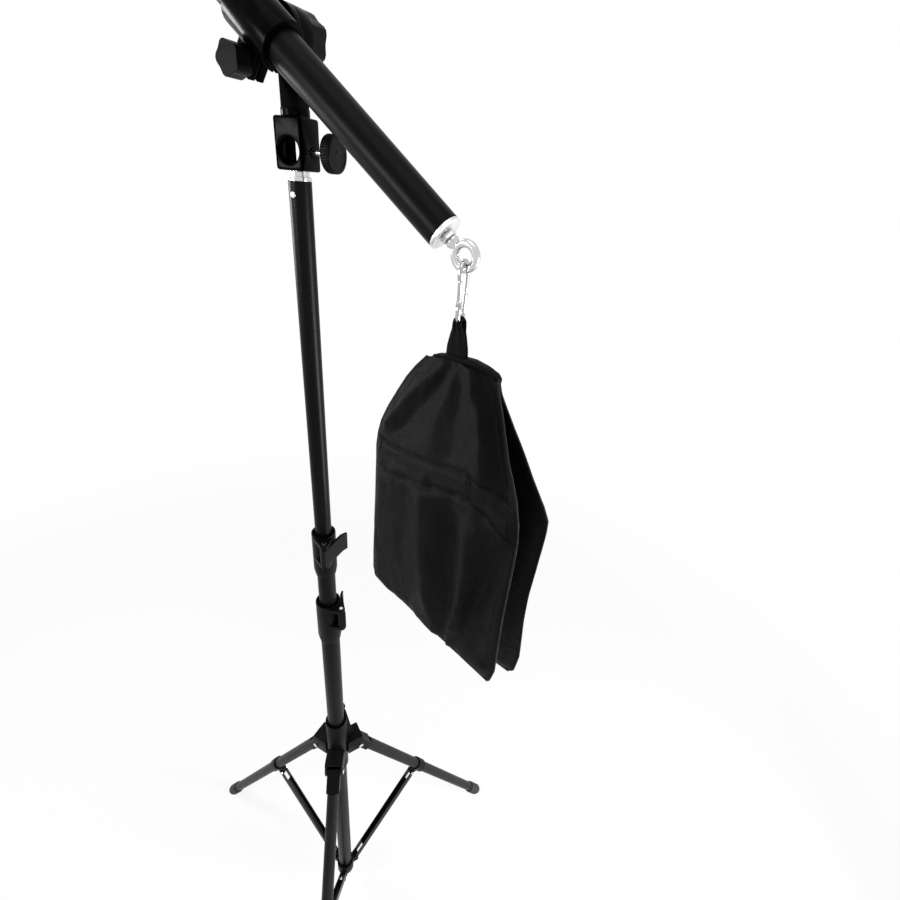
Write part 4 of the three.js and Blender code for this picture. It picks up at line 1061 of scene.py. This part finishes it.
def pouch_ring(facing, left, right, foot, share, seed):
    """One level of the sack: share is 0 at its top and 1 at its foot."""
    left_level = level_at(foot, LEFT_DROOPS, share)
    right_level = level_at(foot, RIGHT_DROOPS, share)
    low_side, high_side = between(left, left_level), between(right, right_level)
    bow = CROWN * (1 - share) ** 4 - SAG * share ** 6
    outer, inner = [], []
    for k in range(COLUMNS):
        q = k / (COLUMNS - 1)
        q -= math.sin(2 * math.pi * q) * CROWDING
        across = low_side + (high_side - low_side) * q
        height = left_level + (right_level - left_level) * q + math.sin(math.pi * q) * bow
        edge = min(across - low_side, high_side - across)
        over_foot = max(height - foot, 0.0) if share > 0.5 else FAR_FROM_FOOT
        swell = rounded_off(edge, EDGE_ROUND, 2.4) * rounded_off(over_foot, FOOT_ROUND, 2.2)
        half = CLOTH_HALF + between(STANDS_OPEN, height) * swell
        # 0 at a sewn edge, where the cloth is stiff, and 1 where it is free to fold
        loose = smooth_step(0.0, EDGE_STIFF, edge) * smooth_step(0.0, FOOT_STIFF, over_foot)
        seen = across if facing < 0 else -across
        fold = fold_height(seen, height, seed) * (0.12 + 0.88 * loose)
        wave = EDGE_WAVE * math.sin(height / EDGE_WAVE_LENGTH + seed) * (1 - loose)
        middle = middle_of(facing, across, height) + wave * facing * smooth_step(-110, -170, height)
        outer.append(on_bag(across, middle + facing * (half + fold), height))
        behind = min(half * 0.8, 3.0 + 0.02 * (POUCH_TOP - height))
        inner.append(on_bag(across, middle - facing * behind + facing * fold * 0.15, height))
    return (outer + inner[::-1]) if facing < 0 else (inner + outer[::-1])


# %% Pouches
POUCH_SHARP = math.radians(75)


def pouch(name, facing, left, right, foot, seed, stands_for):
    shares = [1 - (1 - i / ROWS) ** 1.25 for i in range(ROWS + 1)]
    rings = [pouch_ring(facing, left, right, foot, share, seed) for share in shares]
    shell = loft(rings, zipped=True)
    made = piece(name, [shell], bag_nylon, "sandbag", [stands_for], POUCH_SHARP)
    return made


front_cloth = pouch("front_pouch_cloth", -1, FRONT_LEFT, FRONT_RIGHT, -366, 1.7, "front_pouch")
rear_cloth = pouch("rear_pouch_cloth", 1, REAR_LEFT, REAR_RIGHT, -391, 5.2, "rear_pouch")

# %% [markdown]
# ## Piping
# A narrow binding runs round each pouch and catches the light as a thin line; its nylon is also a
# lighter copy of the bag's, a painted highlight along the sewn edge. It has to follow the waves of
# the sewn edge, so it isn't drawn: its path is read from the finished cloth's own points, halfway
# between the front and the back layer.

# %% Edge piping
def edge_points(mesh):
    """The middle of the sewn edge: down the left, along the foot and up the right."""
    size = 2 * COLUMNS
    at = [vertex.co for vertex in mesh.vertices]
    left = [(at[i * size] + at[i * size + size - 1]) / 2 for i in range(ROWS + 1)]
    right = [(at[i * size + COLUMNS - 1] + at[i * size + COLUMNS]) / 2 for i in range(ROWS + 1)]
    last = ROWS * size
    foot = [(at[last + k] + at[last + size - 1 - k]) / 2 for k in range(1, COLUMNS - 1)]
    return [point.copy() for point in left + foot + right[::-1]]


PIPING_RADIUS, PIPING_SHARP = 0.95, math.radians(70)
for cloth, name in ((front_cloth, "front_piping"), (rear_cloth, "rear_piping")):
    cord = round_bar(edge_points(cloth.data), PIPING_RADIUS * MM, 10)
    piece(name, [cord], piping_nylon_painted_highlight, "sandbag", (), PIPING_SHARP)

# %% [markdown]
# ## Stitches
# Each seam is sewn twice, and the sides and the foot once, in black thread. Stitches could be bump
# in the cloth's material, but so near the camera each one catches the light, so they are real
# little bars. Their lines are drawn flat and laid on the cloth by casting rays at it, to follow the
# folds.

# %% Stitches
STITCH, STITCH_PITCH, THREAD_RADIUS = 2.3, 3.3, 0.33
# (share of a stitch's length, how far it stands out of the cloth there)
STITCH_SHAPE = ((0.0, -0.12), (0.35, 0.22), (0.65, 0.22), (1.0, -0.12))
SEEN_FROM = 90


def tree_of(cloth):
    mesh = cloth.data
    return BVHTree.FromPolygons([v.co for v in mesh.vertices], [p.vertices for p in mesh.polygons])


def shifted(line, by):
    """The line moved sideways by some millimetres."""
    return [(across, height + by) for across, height in line]


def along_line(line, travel):
    """The place some millimetres along a line of points."""
    for (x0, y0), (x1, y1) in zip(line, line[1:]):
        length = math.dist((x0, y0), (x1, y1))
        if travel <= length:
            share = travel / length
            return x0 + (x1 - x0) * share, y0 + (y1 - y0) * share
        travel -= length
    return line[-1]


def on_cloth(tree, facing, place):
    """Where a straight look meets the outer face of a pouch, and the normal there."""
    across, height = place
    start = on_bag(across if facing < 0 else -across, facing * SEEN_FROM, height)
    return tree.ray_cast(start, -OFF * facing)[:2]


def stitched(tree, facing, line):
    """Little bars of thread along a line on the outer face of a pouch."""
    total = sum(math.dist(a, b) for a, b in zip(line, line[1:]))
    bars = []
    travel = 1.0
    while travel + STITCH < total:
        places = [along_line(line, travel + STITCH * share) for share, _ in STITCH_SHAPE]
        hits = [on_cloth(tree, facing, place) for place in places]
        if all(hit is not None for hit, _ in hits):
            path = [hit + normal * (up * MM) for (hit, normal), (_, up) in zip(hits, STITCH_SHAPE)]
            bars.append(round_bar(path, THREAD_RADIUS * MM, 6))
        travel += STITCH_PITCH
    return bars


# %% Sewing lines
SEAM_HALF = 1.5
EDGE_LINES = (
    [(43, -112), (61, -150), (74, -184), (80.5, -210), (82, -300), (84, -350)],
    [(-34, -112), (-62, -150), (-79, -180), (-84, -210), (-81, -300), (-83, -350)],
    [(-80, -358), (0, -359.5), (82, -359)],
)
lines = [shifted(seam, by) for seam in SEAMS for by in (SEAM_HALF, -SEAM_HALF)]
lines += [[(34, -177), (37, -195)], [(37, -177), (40, -195)], *EDGE_LINES]
for cloth, facing, name in ((front_cloth, -1, "front_stitches"), (rear_cloth, 1, "rear_stitches")):
    tree = tree_of(cloth)
    bars = [bar for line in lines for bar in stitched(tree, facing, line)]
    piece(name, bars, black_thread, "sandbag")
    print(len(bars), "stitches in", name)

# %% [markdown]
# ## Background and floor
# The background is white to the camera and in reflections, while the light that falls on the object
# from the world is plain grey: the Light Path node tells the two apart. The floor is pale and keeps
# its shadows near the stand, and fades into the white further out.


# %% World
SEEN_RAYS = ("Is Camera Ray", "Is Glossy Ray", "Is Transmission Ray")


def seen_directly(finish):
    """1 for the camera and for mirror or glass rays, 0 for the rest."""
    rays = [finish.node("ShaderNodeLightPath", output=ray) for ray in SEEN_RAYS]
    return (rays[0] + rays[1] + rays[2]).rise(0.0, 1.0)


WHITE = (1.0, 1.0, 1.0, 1.0)
WORLD_LIGHT = 0.2
world = bpy.data.worlds.new("studio")
bpy.context.scene.world = world
world.use_nodes = True
sky = Finish(world.node_tree)
strength = seen_directly(sky) * (1 - WORLD_LIGHT) + WORLD_LIGHT
backdrop = sky.node("ShaderNodeBackground", None, {"Color": WHITE, "Strength": strength})
sky.node("ShaderNodeOutputWorld", None, {"Surface": backdrop})
print("world light", WORLD_LIGHT)

# %% Floor
FLOOR_HALF, FLOOR_UNDER = 14.0, 0.0005
around = ((-1, -1), (1, -1), (1, 1), (-1, 1))
floor_mesh = bpy.data.meshes.new("studio_floor")
floor_corners = [(x * FLOOR_HALF, y * FLOOR_HALF, -FLOOR_UNDER) for x, y in around]
floor_mesh.from_pydata(floor_corners, [], [(0, 1, 2, 3)])
floor = bpy.data.objects.new("studio_floor", floor_mesh)
bpy.context.scene.collection.objects.link(floor)
floor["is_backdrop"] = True
floor_material, paint, place = new_finish("pale_floor")
away = paint.node("ShaderNodeVectorMath", {"operation": "LENGTH"}, {0: place}, "Value")
speckle = grain(paint, place, 120.0, 3.0)
floor_color = tone(paint, speckle * 0.4, 0.88, 0.84)
floor_sockets = {"Base Color": floor_color, "Roughness": 0.9, "Specular IOR Level": 0.0}
floor_shader = paint.node("ShaderNodeBsdfPrincipled", None, floor_sockets)
glow = paint.node("ShaderNodeEmission", None, {"Color": WHITE, "Strength": 1.0})
whiteness = seen_directly(paint) * (away.rise(0.4, 2.0) * 0.16 + 0.84)
both = paint.node("ShaderNodeMixShader", None, {0: whiteness, 1: floor_shader, 2: glow})
paint.node("ShaderNodeOutputMaterial", None, {"Surface": both})
floor_mesh.materials.append(floor_material)

# %% [markdown]
# ## Lamps
# The photograph has broad highlights and no hard shadow, as in a studio with soft boxes. Small
# lamps would draw both too sharply, so each light is a large area: one for the right side of the
# mast, one for the boom, one for the left side of the bag, and a wide one from above for
# everything.


# %% Lamps
def soft_box(name, azimuth, distance, height, size, power, target=(0.0, -20.0, -80.0)):
    """An area lamp on a circle round the mast, facing a point near the head."""
    data = bpy.data.lights.new(name, "AREA")
    data.shape = "RECTANGLE"
    data.size, data.size_y = size
    data.energy = power
    lamp = bpy.data.objects.new(name, data)
    bpy.context.scene.collection.objects.link(lamp)
    turn = math.radians(azimuth)
    at = from_mast(1000 * distance * math.cos(turn), 1000 * distance * math.sin(turn), height)
    facing = (from_mast(*target) - at).to_track_quat("-Z", "Y")
    lamp.matrix_world = Matrix.Translation(at) @ facing.to_matrix().to_4x4()
    print(name, power, "W")


soft_box("right_soft_box", 13, 1.3, -635, (0.45, 0.9), 34, (0.0, 0.0, -300.0))
soft_box("boom_soft_box", -118, 1.57, 100, (0.35, 0.6), 15, (100.0, -25.0, 30.0))
soft_box("left_soft_box", -172, 1.5, -20, (0.35, 0.5), 19, (167.0, -25.0, -230.0))
soft_box("top_soft_box", -60, 0.9, 2100, (1.6, 1.6), 12)

# %% [markdown]
# ## Sizes
# The last cell prints the size of the CAD model and of the dressed one side by side.

# %% Finish
boxes = {"cad": cad_box, "visual": [list(corner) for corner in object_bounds()]}
for side, name in enumerate("xyz"):
    spans = [boxes[key][1][side] - boxes[key][0][side] for key in ("cad", "visual")]
    print(name, "CAD", round(spans[0], 4), "visual", round(spans[1], 4))
